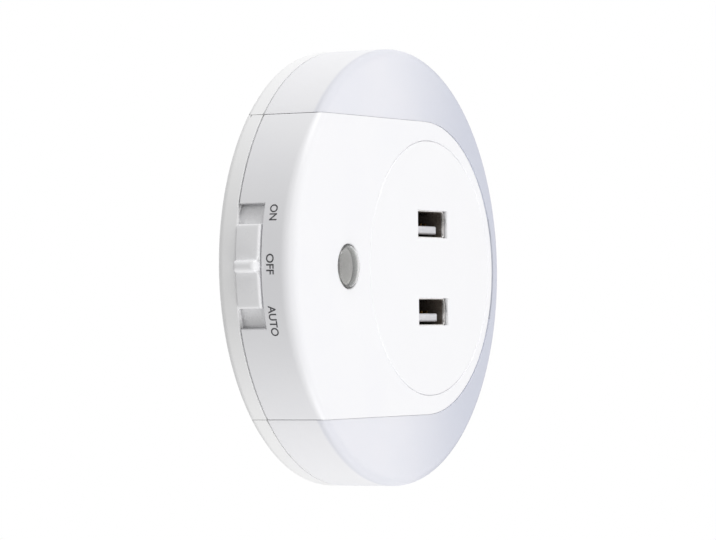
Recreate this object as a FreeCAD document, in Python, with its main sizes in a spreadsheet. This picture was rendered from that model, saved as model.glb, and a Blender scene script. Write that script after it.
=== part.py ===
import FreeCAD, Part
import math
import os
import re
import Sketcher

# Plug in night light: a round white case that sits flat on the wall, with a frosted light shell
# shaped like a horseshoe, two USB-A sockets, a light sensor and a slide switch on its left side.
# X points to the right along the wall, Y into the wall and Z up. The wall face lies at Y = 0.
# A height is measured from the wall face into the room, so a point at height h has Y = -h.

SIZES = [
    # Round case
    ("disc_radius", 47.0),
    ("disc_depth", 18.5),
    ("front_round", 1.6),
    ("back_round", 1.8),
    ("rim_depth", 4.7),
    ("seam_gap", 0.3),
    ("seam_groove", 0.5),
    ("rim_notch", 0.3),
    ("side_wall", 1.5),
    ("face_wall", 2.0),
    ("back_wall", 2.0),
    # Opaque panel, with two straight edges and a round right end
    ("diffuser_band", 15.1),
    ("diffuser_strip", 3.2),
    ("panel_corner", 1.0),
    ("joint_gap", 0.05),
    ("skirt_wall", 1.6),
    # Frosted shell
    ("diffuser_wall", 1.8),
    ("lip_wall", 1.2),
    ("lip_depth", 3.0),
    # Round plate round the sockets
    ("plate_margin", 4.1),
    ("plate_shift", 1.66),
    ("plate_thickness", 1.6),
    ("plate_gap", 0.12),
    ("plate_ledge", 1.8),
    ("ledge_wall", 1.4),
    ("ring_rim", 1.5),
    # USB-A sockets
    ("port_shift", 1.24),
    ("port_spacing", 19.15),
    ("port_recess", 1.35),
    ("port_width", 12.5),
    ("port_height", 5.12),
    ("port_round", 0.5),
    ("port_metal", 0.3),
    ("port_side_gap", 0.3),
    ("port_top_gap", 0.1),
    ("tongue_width", 11.1),
    ("tongue_thickness", 1.84),
    ("tongue_lift", 0.4),
    ("tongue_recess", 1.0),
    ("tongue_base", 2.4),
    ("tongue_fit", 0.05),
    ("contact_width", 1.0),
    ("contact_thickness", 0.2),
    ("contact_pitch", 2.25),
    ("contact_setback", 1.2),
    # Light sensor and its window
    ("sensor_spacing", 9.26),
    ("lens_radius", 4.65),
    ("lens_proud", 1.6),
    ("lens_wall", 1.0),
    ("lens_roof", 0.3),
    ("lens_flange", 1.0),
    ("lens_flange_depth", 0.8),
    ("lens_gap", 0.08),
    ("sensor_radius", 2.5),
    ("sensor_body", 3.0),
    ("sensor_drop", 0.5),
    ("sensor_lead", 0.5),
    ("sensor_pitch", 2.54),
    # Slide switch, its knob and the window of the knob
    ("window_angle", 16.0),
    ("window_height", 6.1),
    ("switch_swing", 4.8),
    ("knob_angle", 10.75),
    ("knob_gap", 0.3),
    ("knob_proud", 0.4),
    ("ridge_width", 2.6),
    ("ridge_top", 1.0),
    ("ridge_proud", 1.6),
    ("flange_gap", 0.3),
    ("flange_wall", 1.2),
    ("flange_margin", 1.2),
    ("flange_over", 1.2),
    ("prong_wall", 1.2),
    ("prong_overlap", 2.5),
    ("rail_wall", 1.2),
    ("rail_angle", 14.0),
    ("rail_height", 4.0),
    ("lever_width", 3.0),
    ("lever_height", 2.0),
    ("lever_gap", 0.3),
    ("switch_reach", 6.0),
    ("case_depth", 5.0),
    ("case_height", 5.0),
    ("case_wall", 0.5),
    ("carriage_width", 4.0),
    ("terminal_width", 0.8),
    ("terminal_reach", 1.4),
    ("terminal_thickness", 0.3),
    ("terminal_pitch", 3.0),
    # Circuit boards and their posts
    ("board_height", 4.2),
    ("board_thickness", 1.2),
    ("board_gap", 0.8),
    ("tab_half", 9.0),
    ("tab_margin", 0.8),
    ("post_radius", 2.2),
    ("pin_radius", 0.8),
    ("pin_proud", 0.6),
    ("pin_fit", 0.1),
    ("post_inset", 2.3),
    ("post_left_angle", 73.0),
    ("post_right_angle", 43.5),
    ("lamp_board_length", 40.0),
    ("lamp_board_gap", 0.7),
    ("lamp_board_clearance", 1.68),
    ("lamp_post_radius", 1.8),
    ("lamp_length", 3.5),
    ("lamp_width", 2.8),
    ("lamp_thickness", 0.8),
    ("lamp_end", 2.0),
    ("wire_radius", 0.5),
    ("wire_pitch", 2.6),
    ("wire_lap", 3.6),
    ("wire_end_lap", 1.2),
    ("notch_margin", 0.8),
    # Plug blades, in the flat two pin pattern
    ("blade_length", 17.5),
    ("blade_width", 6.35),
    ("blade_thickness", 1.5),
    ("blade_spacing", 12.7),
    ("blade_tip", 1.2),
    ("blade_hole", 1.6),
    ("blade_hole_offset", 11.9),
    ("blade_fit", 0.1),
    ("shoulder_width", 9.5),
    ("shoulder_depth", 1.2),
    ("tail_width", 3.0),
    ("tail_proud", 0.8),
    # Screws that hold the case together
    ("screw_left_x", 29.0),
    ("screw_left_inset", 7.9),
    ("screw_right_inset", 4.92),
    ("screw_right_angle", 30.0),
    ("boss_radius", 3.0),
    ("boss_seat", 6.0),
    ("screw_radius", 1.0),
    ("screw_fit", 0.05),
    ("screw_clearance", 0.3),
    ("screw_length", 8.0),
    ("head_radius", 2.0),
    ("head_thickness", 1.3),
    ("head_gap", 0.3),
    ("head_depth", 3.4),
    ("pilot_extra", 1.0),
    ("drive_length", 2.4),
    ("drive_width", 0.5),
    ("drive_depth", 0.65),
    # Parts on the power board
    ("core_width", 13.2),
    ("core_length", 13.0),
    ("core_depth", 5.0),
    ("core_leg", 3.6),
    ("core_side", 2.4),
    ("core_yoke", 2.2),
    ("core_x", -8.0),
    ("core_z", -14.0),
    ("coil_gap", 0.1),
    ("coil_headroom", 1.1),
    ("tall_headroom", 0.7),
    ("input_cap_radius", 4.0),
    ("output_cap_radius", 3.15),
    ("output_cap_x", 13.0),
    ("output_cap_z", 19.5),
    ("choke_inset", 4.1),
    ("choke_radius", 3.0),
    ("choke_waist", 2.0),
    ("choke_flange", 1.0),
    ("choke_height", 6.0),
    ("disc_cap_radius", 3.5),
    ("disc_cap_thickness", 3.0),
    ("disc_cap_x", 3.0),
    ("disc_cap_z", -18.0),
    ("fuse_radius", 1.8),
    ("fuse_length", 9.0),
    ("fuse_x", -20.5),
    ("fuse_z", 11.0),
    ("input_cap_far_x", -11.0),
    ("input_cap_far_z", 15.0),
    ("input_cap_near_x", -1.5),
    ("input_cap_near_inset", 11.0),
    ("bridge_x", -20.0),
    ("bridge_z", -8.0),
    ("bridge_width", 5.0),
    ("bridge_tall", 4.0),
    ("bridge_depth", 2.5),
    ("chip_x", -20.0),
    ("chip_z", -15.5),
    ("chip_width", 5.0),
    ("chip_tall", 4.0),
    ("chip_depth", 1.6),
    ("diode_x", 0.0),
    ("diode_z", 8.0),
    ("diode_width", 4.5),
    ("diode_tall", 3.0),
    ("diode_depth", 2.2),
    ("resistor_x", 7.0),
    ("resistor_inset", 4.0),
    ("resistor_pitch", 3.0),
    ("resistor_width", 2.0),
    ("resistor_tall", 1.25),
    ("resistor_depth", 0.6),
]

WORDS = {alias for alias, value in SIZES}

SIDES = {"upper": 1, "lower": -1}
CONTACT_COUNT = 4
TERMINAL_COUNT = 4
LAMP_COUNT = 5

# Sizes worked out from the ones above
DERIVED = {
    "panel_half": "disc_radius - diffuser_band",
    "panel_centre": "diffuser_band - diffuser_strip",
    "plate_radius": "panel_half - plate_margin",
    "plate_centre": "panel_centre + plate_shift",
    "port_centre": "plate_centre + port_shift",
    "sensor_offset": "plate_radius - plate_centre + sensor_spacing",
    "face_inside": "disc_depth - face_wall",
    "wall_inside": "disc_radius - side_wall",
    "ledge_inside": "disc_depth - plate_thickness - ledge_wall",
    "board_radius": "panel_half - skirt_wall - board_gap",
    "board_top": "board_height + board_thickness",
    "room": "ledge_inside - board_top",
    "flange_outside": "wall_inside - flange_gap",
    "flange_inside": "flange_outside - flange_wall",
    "flange_angle": "window_angle + switch_swing + flange_margin",
    "knob_outside": "disc_radius + knob_proud",
    "ridge_slope": "atan((ridge_width - ridge_top) / (2 * ridge_proud))",
    "knob_bottom": "rim_depth + knob_gap",
    "knob_top": "rim_depth + window_height - knob_gap",
    "flange_bottom": "rim_depth - flange_over",
    "flange_top": "rim_depth + window_height + flange_over",
    "case_face": "flange_inside - switch_reach",
    "prong_tip": "case_face + switch_reach - flange_wall - prong_overlap",
    "lever_tip": "prong_tip + prong_overlap",
    "lever_radius": "prong_tip + prong_overlap / 2",
    "lever_travel": "lever_radius * switch_swing * pi / 180",
    "lever_bottom": "board_top + (case_height - lever_height) / 2",
    "slot_half": "lever_travel + lever_width / 2 + lever_gap",
    "case_half": "lever_travel + carriage_width / 2 + lever_gap + case_wall",
    "port_shell_front": "disc_depth - port_recess",
    "tongue_front": "port_shell_front - tongue_recess",
    "lamp_board_inner": "panel_half + joint_gap + lamp_board_gap",
    "lamp_board_reach": "disc_radius - diffuser_wall - lamp_board_clearance",
    "lamp_board_outer": "sqrt(lamp_board_reach^2 - (lamp_board_length / 2)^2)",
    "lamp_board_width": "lamp_board_outer - lamp_board_inner",
    "lamp_board_middle": "(lamp_board_inner + lamp_board_outer) / 2",
    "lamp_row_half": "lamp_board_length / 2 - lamp_end",
    "lamp_pitch": "2 * lamp_row_half / %d" % (LAMP_COUNT - 1),
    "lamp_post_x": "lamp_row_half - lamp_pitch / 2",
    "diffuser_inside": "disc_depth - diffuser_wall",
    "post_left_x": "(board_radius - post_inset) * cos(post_left_angle)",
    "post_left_z": "(board_radius - post_inset) * sin(post_left_angle)",
    "post_right_x": "(board_radius - post_inset) * cos(post_right_angle)",
    "post_right_z": "(board_radius - post_inset) * sin(post_right_angle)",
    "screw_left_z": "panel_half - screw_left_inset",
    "screw_circle": "panel_half - screw_right_inset",
    "screw_right_x": "panel_centre + screw_circle * cos(screw_right_angle)",
    "screw_right_z": "screw_circle * sin(screw_right_angle)",
    "choke_x": "board_radius - choke_inset",
    "input_cap_near_z": "board_radius - input_cap_near_inset",
}

# Standing places, as (across, up)
SCREW_SPOTS = [
    ("-screw_left_x", "screw_left_z"),
    ("-screw_left_x", "-screw_left_z"),
    ("screw_right_x", "screw_right_z"),
    ("screw_right_x", "-screw_right_z"),
]
POST_SPOTS = [
    ("-post_left_x", "post_left_z"),
    ("-post_left_x", "-post_left_z"),
    ("post_right_x", "post_right_z"),
    ("post_right_x", "-post_right_z"),
]

# Small parts soldered on the power board, as (name, across, up, width, tall, depth)
CHIPS = [
    ("bridge_rectifier", "bridge_x", "bridge_z", "bridge_width", "bridge_tall", "bridge_depth"),
    ("control_chip", "chip_x", "chip_z", "chip_width", "chip_tall", "chip_depth"),
    ("output_diode", "diode_x", "diode_z", "diode_width", "diode_tall", "diode_depth"),
]

os.makedirs("parts", exist_ok=True)
doc = FreeCAD.newDocument("night_light")
sheet = doc.addObject("Spreadsheet::Sheet", "Sizes")
for row, (alias, value) in enumerate(SIZES, start=1):
    sheet.set("A%d" % row, alias.replace("_", " "))
    sheet.set("B%d" % row, str(value))
    sheet.setAlias("B%d" % row, alias)
doc.recompute()

nodes = []


def formula(text):
    """Turn plain size names into references to the sheet's cells."""
    def swap(match):
        word = match.group(0)
        if word in DERIVED:
            return "(" + formula(DERIVED[word]) + ")"
        return "Sizes." + word if word in WORDS else word
    return re.sub(r"[a-z_]+", swap, text)


def number(text):
    """Work out a formula with the sizes that the sheet holds now."""
    return float(sheet.evalExpression(formula(text)))


def bind(item, **sizes):
    """Bind the item's properties to formulas."""
    for name, text in sizes.items():
        item.setExpression(name, formula(text))


def place(item, x, height, z):
    """Bind where an item stands, with its height counted from the wall face."""
    item.setExpression("Placement.Base.x", formula(x))
    item.setExpression("Placement.Base.y", formula("-(%s)" % height))
    item.setExpression("Placement.Base.z", formula(z))


def keep(item, label):
    """Name an item as one of the object's pieces."""
    item.Label = label
    nodes.append(item)
    return item


# Sketches and features


def sketch_on(body, role, name, height="0", across="0"):
    """Start a sketch on a plane of the body's own origin, moved along the plane's normal."""
    plane = [item for item in body.Origin.OriginFeatures if item.Role == role][0]
    sketch = body.newObject("Sketcher::SketchObject", body.Name + "_" + name)
    sketch.AttachmentSupport = (plane, [""])
    sketch.MapMode = "FlatFace"
    sketch.setExpression("AttachmentOffset.Base.x", formula(across))
    sketch.setExpression("AttachmentOffset.Base.z", formula(height))
    return sketch


def pin_point(sketch, index, end, across, up):
    """Hold one point of a sketch at a formula's place."""
    for kind, text in (("DistanceX", across), ("DistanceY", up)):
        rule = Sketcher.Constraint(kind, -1, 1, index, end, number(text))
        sketch.setExpression("Constraints[%d]" % sketch.addConstraint(rule), formula(text))


def pin_radius(sketch, index, radius):
    """Hold the radius of a circle or an arc."""
    rule = Sketcher.Constraint("Radius", index, number(radius))
    sketch.setExpression("Constraints[%d]" % sketch.addConstraint(rule), formula(radius))


def circle(sketch, across, up, radius):
    """Draw a circle."""
    middle = FreeCAD.Vector(number(across), number(up), 0)
    shape = Part.Circle(middle, FreeCAD.Vector(0, 0, 1), number(radius))
    index = sketch.addGeometry(shape, False)
    pin_point(sketch, index, 3, across, up)
    pin_radius(sketch, index, radius)


def arc_between(start, end, radius, turn):
    """Give the arc of less than half a turn from start to end, anticlockwise where turn is 1."""
    chord = end - start
    normal = FreeCAD.Vector(-chord.y, chord.x, 0).normalize() * turn
    middle = (start + end) * 0.5 + normal * math.sqrt(radius ** 2 - chord.Length ** 2 / 4)
    first, last = (start, end) if turn > 0 else (end, start)
    angles = [math.atan2(point.y - middle.y, point.x - middle.x) for point in (first, last)]
    return Part.ArcOfCircle(Part.Circle(middle, FreeCAD.Vector(0, 0, 1), radius), *angles)


def outline(sketch, corners):
    """Draw a closed outline through its corners.

    A corner is (across, up). Where the edge that leaves it is an arc, the corner adds the arc's
    radius and its turn, 1 for anticlockwise and -1 for clockwise.
    """
    points = [FreeCAD.Vector(number(corner[0]), number(corner[1]), 0) for corner in corners]
    edges = []
    for corner, start, end in zip(corners, points, points[1:] + points[:1]):
        if len(corner) == 2:
            edges.append((sketch.addGeometry(Part.LineSegment(start, end), False), 1, 2))
        else:
            radius, turn = corner[2:]
            index = sketch.addGeometry(arc_between(start, end, number(radius), turn), False)
            edges.append((index, 1, 2) if turn > 0 else (index, 2, 1))
    for (index, first, last), (after, begin, finish) in zip(edges, edges[1:] + edges[:1]):
        sketch.addConstraint(Sketcher.Constraint("Coincident", index, last, after, begin))
    for corner, (index, first, last) in zip(corners, edges):
        pin_point(sketch, index, first, corner[0], corner[1])
        if len(corner) > 2:
            pin_radius(sketch, index, corner[2])


def rectangle(sketch, across, up, width, height):
    """Draw a rectangle about its middle."""
    left, right = "%s - (%s) / 2" % (across, width), "%s + (%s) / 2" % (across, width)
    low, high = "%s - (%s) / 2" % (up, height), "%s + (%s) / 2" % (up, height)
    outline(sketch, [(left, low), (right, low), (right, high), (left, high)])


def sector(sketch, inner, outer, angle):
    """Draw a piece of ring on the left of the case, with its middle at Z = 0."""
    across, up = "-(%s) * cos(%s)", "(%s) * sin(%s)"
    outline(sketch, [
        (across % (outer, angle), up % (outer, angle), outer, 1),
        (across % (outer, angle), "-" + up % (outer, angle)),
        (across % (inner, angle), "-" + up % (inner, angle), inner, -1),
        (across % (inner, angle), up % (inner, angle)),
    ])


def pad(body, sketch, length, taper="0", inward=False):
    """Raise a sketch along its plane's normal or against it, with sides that lean by a taper."""
    feature = body.newObject("PartDesign::Pad", sketch.Name + "_pad")
    feature.Profile = sketch
    feature.Reversed = inward
    bind(feature, Length=length, TaperAngle=taper)
    sketch.Visibility = False
    return feature


def pocket(body, sketch, length):
    """Cut a sketch towards the room."""
    feature = body.newObject("PartDesign::Pocket", sketch.Name + "_pocket")
    feature.Profile = sketch
    feature.Reversed = True
    bind(feature, Length=length)
    sketch.Visibility = False
    return feature


def revolve(body, sketch):
    """Turn a sketch about its own vertical axis."""
    feature = body.newObject("PartDesign::Revolution", sketch.Name + "_turn")
    feature.Profile = sketch
    feature.ReferenceAxis = (sketch, ["V_Axis"])
    feature.Angle = 360
    sketch.Visibility = False
    return feature


def new_body(label):
    """Start the body of one piece."""
    return keep(doc.addObject("PartDesign::Body", label), label)


# Plain solids


def block(name, x, z, height, width, tall, depth):
    """Make a block about (x, z), standing up from a height by its depth."""
    box = doc.addObject("Part::Box", name)
    bind(box, Length=width, Width=depth, Height=tall)
    place(box, "%s - (%s) / 2" % (x, width), "%s + (%s)" % (height, depth),
          "%s - (%s) / 2" % (z, tall))
    return box


def rod(name, x, z, height, radius, length):
    """Make a round rod that points into the room."""
    item = doc.addObject("Part::Cylinder", name)
    bind(item, Radius=radius, Height=length)
    item.Placement.Rotation = FreeCAD.Rotation(FreeCAD.Vector(1, 0, 0), 90)
    place(item, x, height, z)
    return item


def group(label, items):
    """Keep several alike solids as one piece list entry."""
    compound = doc.addObject("Part::Compound", label)
    compound.Links = items
    return keep(compound, label)


def joined(name, items):
    """Join solids that touch."""
    fused = doc.addObject("Part::MultiFuse", name)
    fused.Shapes = items
    return fused


def cut(name, base, tool):
    """Cut one solid out of another."""
    result = doc.addObject("Part::Cut", name)
    result.Base = base
    result.Tool = tool
    return result


def steps_about_middle(count):
    """Number a row of alike things about its middle, such as -1, 0 and 1 for three."""
    return [index - (count - 1) / 2 for index in range(count)]


# Outline of the opaque panel, grown by an amount all round


def panel_edge(grow, left, turned=1):
    """Give the corners along the panel's edge, from its upper left end to its lower left end."""
    half = "(panel_half + %s)" % grow
    corners = [
        (left, half),
        ("panel_centre", half, half, -1),
        ("panel_centre + %s" % half, "0", half, -1),
        ("panel_centre", "-%s" % half),
        (left, "-%s" % half),
    ]
    if turned > 0:
        return corners
    return [
        (left, "-%s" % half),
        ("panel_centre", "-%s" % half, half, 1),
        ("panel_centre + %s" % half, "0", half, 1),
        ("panel_centre", half),
        (left, half),
    ]


def rounded_panel_edge():
    """Give the panel's edge with its two left corners rounded into the round side wall."""
    middle_z = "(panel_half - panel_corner)"
    middle_x = "sqrt((disc_radius - panel_corner)^2 - %s^2)" % middle_z
    stretch = "disc_radius / (disc_radius - panel_corner)"
    wall_x, wall_z = "%s * %s" % (middle_x, stretch), "%s * %s" % (middle_z, stretch)
    edge = panel_edge("0", "-" + middle_x)
    upper = [("-2 * " + wall_x, "2 * " + wall_z), ("-" + wall_x, wall_z, "panel_corner", -1)]
    lower = [edge[-1] + ("panel_corner", -1), ("-" + wall_x, "-" + wall_z)]
    return upper + edge[:-1] + lower + [("-2 * " + wall_x, "-2 * " + wall_z)]


def make_front_housing():
    """Make the opaque moulding: panel, left side wall, skirt, ring ledge and screw bosses."""
    body = new_body("front_housing")
    profile = sketch_on(body, "XY_Plane", "profile")
    outline(profile, [
        ("0", "-rim_depth"),
        ("disc_radius", "-rim_depth"),
        ("disc_radius", "-(disc_depth - front_round)", "front_round", -1),
        ("disc_radius - front_round", "-disc_depth"),
        ("0", "-disc_depth"),
    ])
    revolve(body, profile)

    around = sketch_on(body, "XZ_Plane", "around", "rim_depth")
    far = "2 * disc_radius"
    outline(around, rounded_panel_edge() + [
        ("-" + far, "-" + far), (far, "-" + far), (far, far), ("-" + far, far),
    ])
    pocket(body, around, "disc_depth")

    hollow = sketch_on(body, "XZ_Plane", "hollow", "rim_depth")
    inner_half = "(panel_half - skirt_wall)"
    corners = panel_edge("-skirt_wall", "-sqrt(wall_inside^2 - %s^2)" % inner_half)
    outline(hollow, corners[:-1] + [corners[-1] + ("wall_inside", -1)])
    pocket(body, hollow, "face_inside - rim_depth")

    ring = sketch_on(body, "XZ_Plane", "ring", "ledge_inside")
    circle(ring, "plate_centre", "0", "plate_radius + ring_rim")
    pad(body, ring, "face_inside - ledge_inside")
    bore = sketch_on(body, "XZ_Plane", "bore", "ledge_inside")
    circle(bore, "plate_centre", "0", "plate_radius - plate_ledge")
    pocket(body, bore, "disc_depth - ledge_inside")
    recess = sketch_on(body, "XZ_Plane", "recess", "disc_depth - plate_thickness")
    circle(recess, "plate_centre", "0", "plate_radius")
    pocket(body, recess, "plate_thickness")

    eye = sketch_on(body, "XZ_Plane", "eye", "face_inside")
    circle(eye, "-sensor_offset", "0", "lens_radius + lens_gap")
    pocket(body, eye, "face_wall")

    bosses = sketch_on(body, "XZ_Plane", "bosses", "boss_seat")
    pilots = sketch_on(body, "XZ_Plane", "pilots", "rim_depth")
    for across, up in SCREW_SPOTS:
        circle(bosses, across, up, "boss_radius")
        circle(pilots, across, up, "screw_radius + screw_fit")
    pad(body, bosses, "face_inside - boss_seat")
    pocket(body, pilots, "screw_length - (rim_depth - head_depth) + pilot_extra")

    window = sketch_on(body, "XZ_Plane", "window", "rim_depth")
    near = "(wall_inside - side_wall)"
    outline(window, [
        ("-%s * cos(window_angle)" % near, "%s * sin(window_angle)" % near),
        ("-%s * cos(window_angle)" % far, "%s * sin(window_angle)" % far),
        ("-%s * cos(window_angle)" % far, "-%s * sin(window_angle)" % far),
        ("-%s * cos(window_angle)" % near, "-%s * sin(window_angle)" % near),
    ])
    pocket(body, window, "window_height")

    notches = sketch_on(body, "XZ_Plane", "notches", "rim_depth")
    for side in SIDES.values():
        rectangle(notches, "0", "%d * panel_half" % side,
                  "wire_pitch + 2 * (wire_radius + notch_margin)", "4 * skirt_wall")
    pocket(body, notches, "board_top - rim_depth + 2 * wire_radius + notch_margin")


def make_diffuser():
    """Make the frosted horseshoe: face, outer wall and a lip that stiffens its inner edge."""
    body = new_body("diffuser")
    profile = sketch_on(body, "XY_Plane", "profile")
    outline(profile, [
        ("0", "-diffuser_inside"),
        ("disc_radius - diffuser_wall", "-diffuser_inside"),
        ("disc_radius - diffuser_wall", "-rim_depth"),
        ("disc_radius", "-rim_depth"),
        ("disc_radius", "-(disc_depth - front_round)", "front_round", -1),
        ("disc_radius - front_round", "-disc_depth"),
        ("0", "-disc_depth"),
    ])
    revolve(body, profile)
    gap = sketch_on(body, "XZ_Plane", "gap")
    outline(gap, panel_edge("joint_gap", "-2 * disc_radius"))
    pocket(body, gap, "2 * disc_depth")

    lip = sketch_on(body, "XZ_Plane", "lip", "diffuser_inside - lip_depth")
    grown = "(panel_half + joint_gap + lip_wall)"
    end = "-sqrt((disc_radius - diffuser_wall / 2)^2 - %s^2)" % grown
    outer = panel_edge("joint_gap + lip_wall", end)
    outline(lip, outer + panel_edge("joint_gap", end, -1))
    pad(body, lip, "lip_depth")


def make_back_cover():
    """Make the tray that lies on the wall: rim, bosses, board posts, knob rail and slots."""
    body = new_body("back_cover")
    profile = sketch_on(body, "XY_Plane", "profile")
    outline(profile, [
        ("0", "0"),
        ("disc_radius - back_round", "0", "back_round", -1),
        ("disc_radius", "-back_round"),
        ("disc_radius", "-(rim_depth - seam_gap)"),
        ("disc_radius - seam_groove", "-(rim_depth - seam_gap)"),
        ("disc_radius - seam_groove", "-rim_depth"),
        ("wall_inside", "-rim_depth"),
        ("wall_inside", "-back_wall"),
        ("0", "-back_wall"),
    ])
    revolve(body, profile)

    bosses = sketch_on(body, "XZ_Plane", "bosses", "back_wall")
    heads = sketch_on(body, "XZ_Plane", "heads")
    holes = sketch_on(body, "XZ_Plane", "holes")
    for across, up in SCREW_SPOTS:
        circle(bosses, across, up, "boss_radius")
        circle(heads, across, up, "head_radius + head_gap")
        circle(holes, across, up, "screw_radius + screw_clearance")
    pad(body, bosses, "boss_seat - back_wall")

    posts = sketch_on(body, "XZ_Plane", "posts", "back_wall")
    pins = sketch_on(body, "XZ_Plane", "pins", "board_height")
    for across, up in POST_SPOTS:
        circle(posts, across, up, "post_radius")
        circle(pins, across, up, "pin_radius")
    for side in SIDES.values():
        for across in ("-lamp_post_x", "lamp_post_x"):
            circle(posts, across, "%d * lamp_board_middle" % side, "lamp_post_radius")
            circle(pins, across, "%d * lamp_board_middle" % side, "pin_radius")
    pad(body, posts, "board_height - back_wall")
    pad(body, pins, "board_thickness + pin_proud")

    notches = sketch_on(body, "XZ_Plane", "notches")
    middle = "(panel_half + joint_gap / 2)"
    floor = "(sqrt(disc_radius^2 - %s^2) - seam_groove)" % middle
    for side in SIDES.values():
        rectangle(notches, "-%s - disc_radius / 2" % floor, "%d * %s" % (side, middle),
                  "disc_radius", "rim_notch")
    pocket(body, notches, "rim_depth")

    rail = sketch_on(body, "XZ_Plane", "rail", "back_wall")
    sector(rail, "flange_inside - flange_gap - rail_wall", "flange_inside - flange_gap", "rail_angle")
    pad(body, rail, "rail_height")

    pocket(body, heads, "head_depth")
    pocket(body, holes, "boss_seat")
    slots = sketch_on(body, "XZ_Plane", "slots")
    for side in (-1, 1):
        rectangle(slots, "%d * blade_spacing / 2" % side, "0",
                  "blade_thickness + 2 * blade_fit", "blade_width + 2 * blade_fit")
    pocket(body, slots, "back_wall")


def make_usb_face_plate():
    """Make the round plate with its two socket openings."""
    body = new_body("usb_face_plate")
    plate = sketch_on(body, "XZ_Plane", "plate", "disc_depth - plate_thickness")
    circle(plate, "plate_centre", "0", "plate_radius - plate_gap")
    for side in SIDES.values():
        rectangle(plate, "port_centre", "%d * port_spacing / 2" % side,
                  "port_width + 2 * (port_metal + port_side_gap)",
                  "port_height + 2 * (port_metal + port_top_gap)")
    pad(body, plate, "plate_thickness")


def rounded_rectangle(sketch, across, up, width, height, radius):
    """Draw a rectangle with rounded corners about its middle."""
    corners = []
    for sign_x, sign_z, order in ((1, -1, 0), (1, 1, 1), (-1, 1, 0), (-1, -1, 1)):
        outer_x = "%s + %d * (%s) / 2" % (across, sign_x, width)
        outer_z = "%s + %d * (%s) / 2" % (up, sign_z, height)
        inner_x = "%s - %d * (%s)" % (outer_x, sign_x, radius)
        inner_z = "%s - %d * (%s)" % (outer_z, sign_z, radius)
        ends = [(inner_x, outer_z), (outer_x, inner_z)]
        first, last = (ends[1], ends[0]) if order else (ends[0], ends[1])
        corners += [first + (radius, 1), last]
    outline(sketch, corners)


def make_usb_socket(side_name, side):
    """Make one USB-A socket: its metal shell, its tongue with a base, and four contacts."""
    middle = "%d * port_spacing / 2" % side
    shell = new_body("usb_shell_" + side_name)
    outside = sketch_on(shell, "XZ_Plane", "outside", "board_top")
    rounded_rectangle(outside, "port_centre", middle, "port_width + 2 * port_metal",
                      "port_height + 2 * port_metal", "port_round + port_metal")
    pad(shell, outside, "port_shell_front - board_top")
    inside = sketch_on(shell, "XZ_Plane", "inside", "board_top")
    rounded_rectangle(inside, "port_centre", middle, "port_width", "port_height", "port_round")
    pocket(shell, inside, "port_shell_front - board_top")

    tongue = new_body("usb_tongue_" + side_name)
    base = sketch_on(tongue, "XZ_Plane", "base", "board_top")
    rounded_rectangle(base, "port_centre", middle, "port_width - 2 * tongue_fit",
                      "port_height - 2 * tongue_fit", "port_round")
    pad(tongue, base, "tongue_base")
    blade = sketch_on(tongue, "XZ_Plane", "blade", "board_top")
    floor = "(%s - port_height / 2 + tongue_lift)" % middle
    rectangle(blade, "port_centre", floor + " + tongue_thickness / 2", "tongue_width",
              "tongue_thickness")
    pad(tongue, blade, "tongue_front - board_top")

    strips = []
    for index, step in enumerate(steps_about_middle(CONTACT_COUNT)):
        across = "port_centre + %s * contact_pitch" % step
        strips.append(block("usb_contact_%s_%d" % (side_name, index), across,
                            floor + " + tongue_thickness + contact_thickness / 2",
                            "board_top + tongue_base", "contact_width", "contact_thickness",
                            "tongue_front - contact_setback - board_top - tongue_base"))
    group("usb_contacts_" + side_name, strips)


def make_sensor():
    """Make the sensor's clear window and the sensor with its leads behind it."""
    lens = new_body("sensor_lens")
    profile = sketch_on(lens, "XY_Plane", "profile", across="-sensor_offset")
    outline(profile, [
        ("0", "-(disc_depth - lens_roof)"),
        ("lens_radius - lens_wall", "-(disc_depth - lens_roof)"),
        ("lens_radius - lens_wall", "-(face_inside - lens_flange_depth)"),
        ("lens_radius + lens_flange", "-(face_inside - lens_flange_depth)"),
        ("lens_radius + lens_flange", "-face_inside"),
        ("lens_radius", "-face_inside"),
        ("lens_radius", "-disc_depth", "(lens_radius^2 + lens_proud^2) / (2 * lens_proud)", -1),
        ("0", "-(disc_depth + lens_proud)"),
    ])
    revolve(lens, profile)

    dome_base = "face_inside - sensor_drop - sensor_radius"
    barrel = rod("light_sensor_barrel", "-sensor_offset", "0", dome_base + " - sensor_body",
                 "sensor_radius", "sensor_body")
    dome = doc.addObject("Part::Sphere", "light_sensor_dome")
    bind(dome, Radius="sensor_radius")
    place(dome, "-sensor_offset", dome_base, "0")
    leads = [block("light_sensor_lead_" + name, "-sensor_offset", "%d * sensor_pitch / 2" % side,
                   "board_top", "sensor_lead", "sensor_lead",
                   dome_base + " - sensor_body - board_top")
             for name, side in SIDES.items()]
    keep(joined("light_sensor", [barrel, dome] + leads), "light_sensor")


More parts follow.
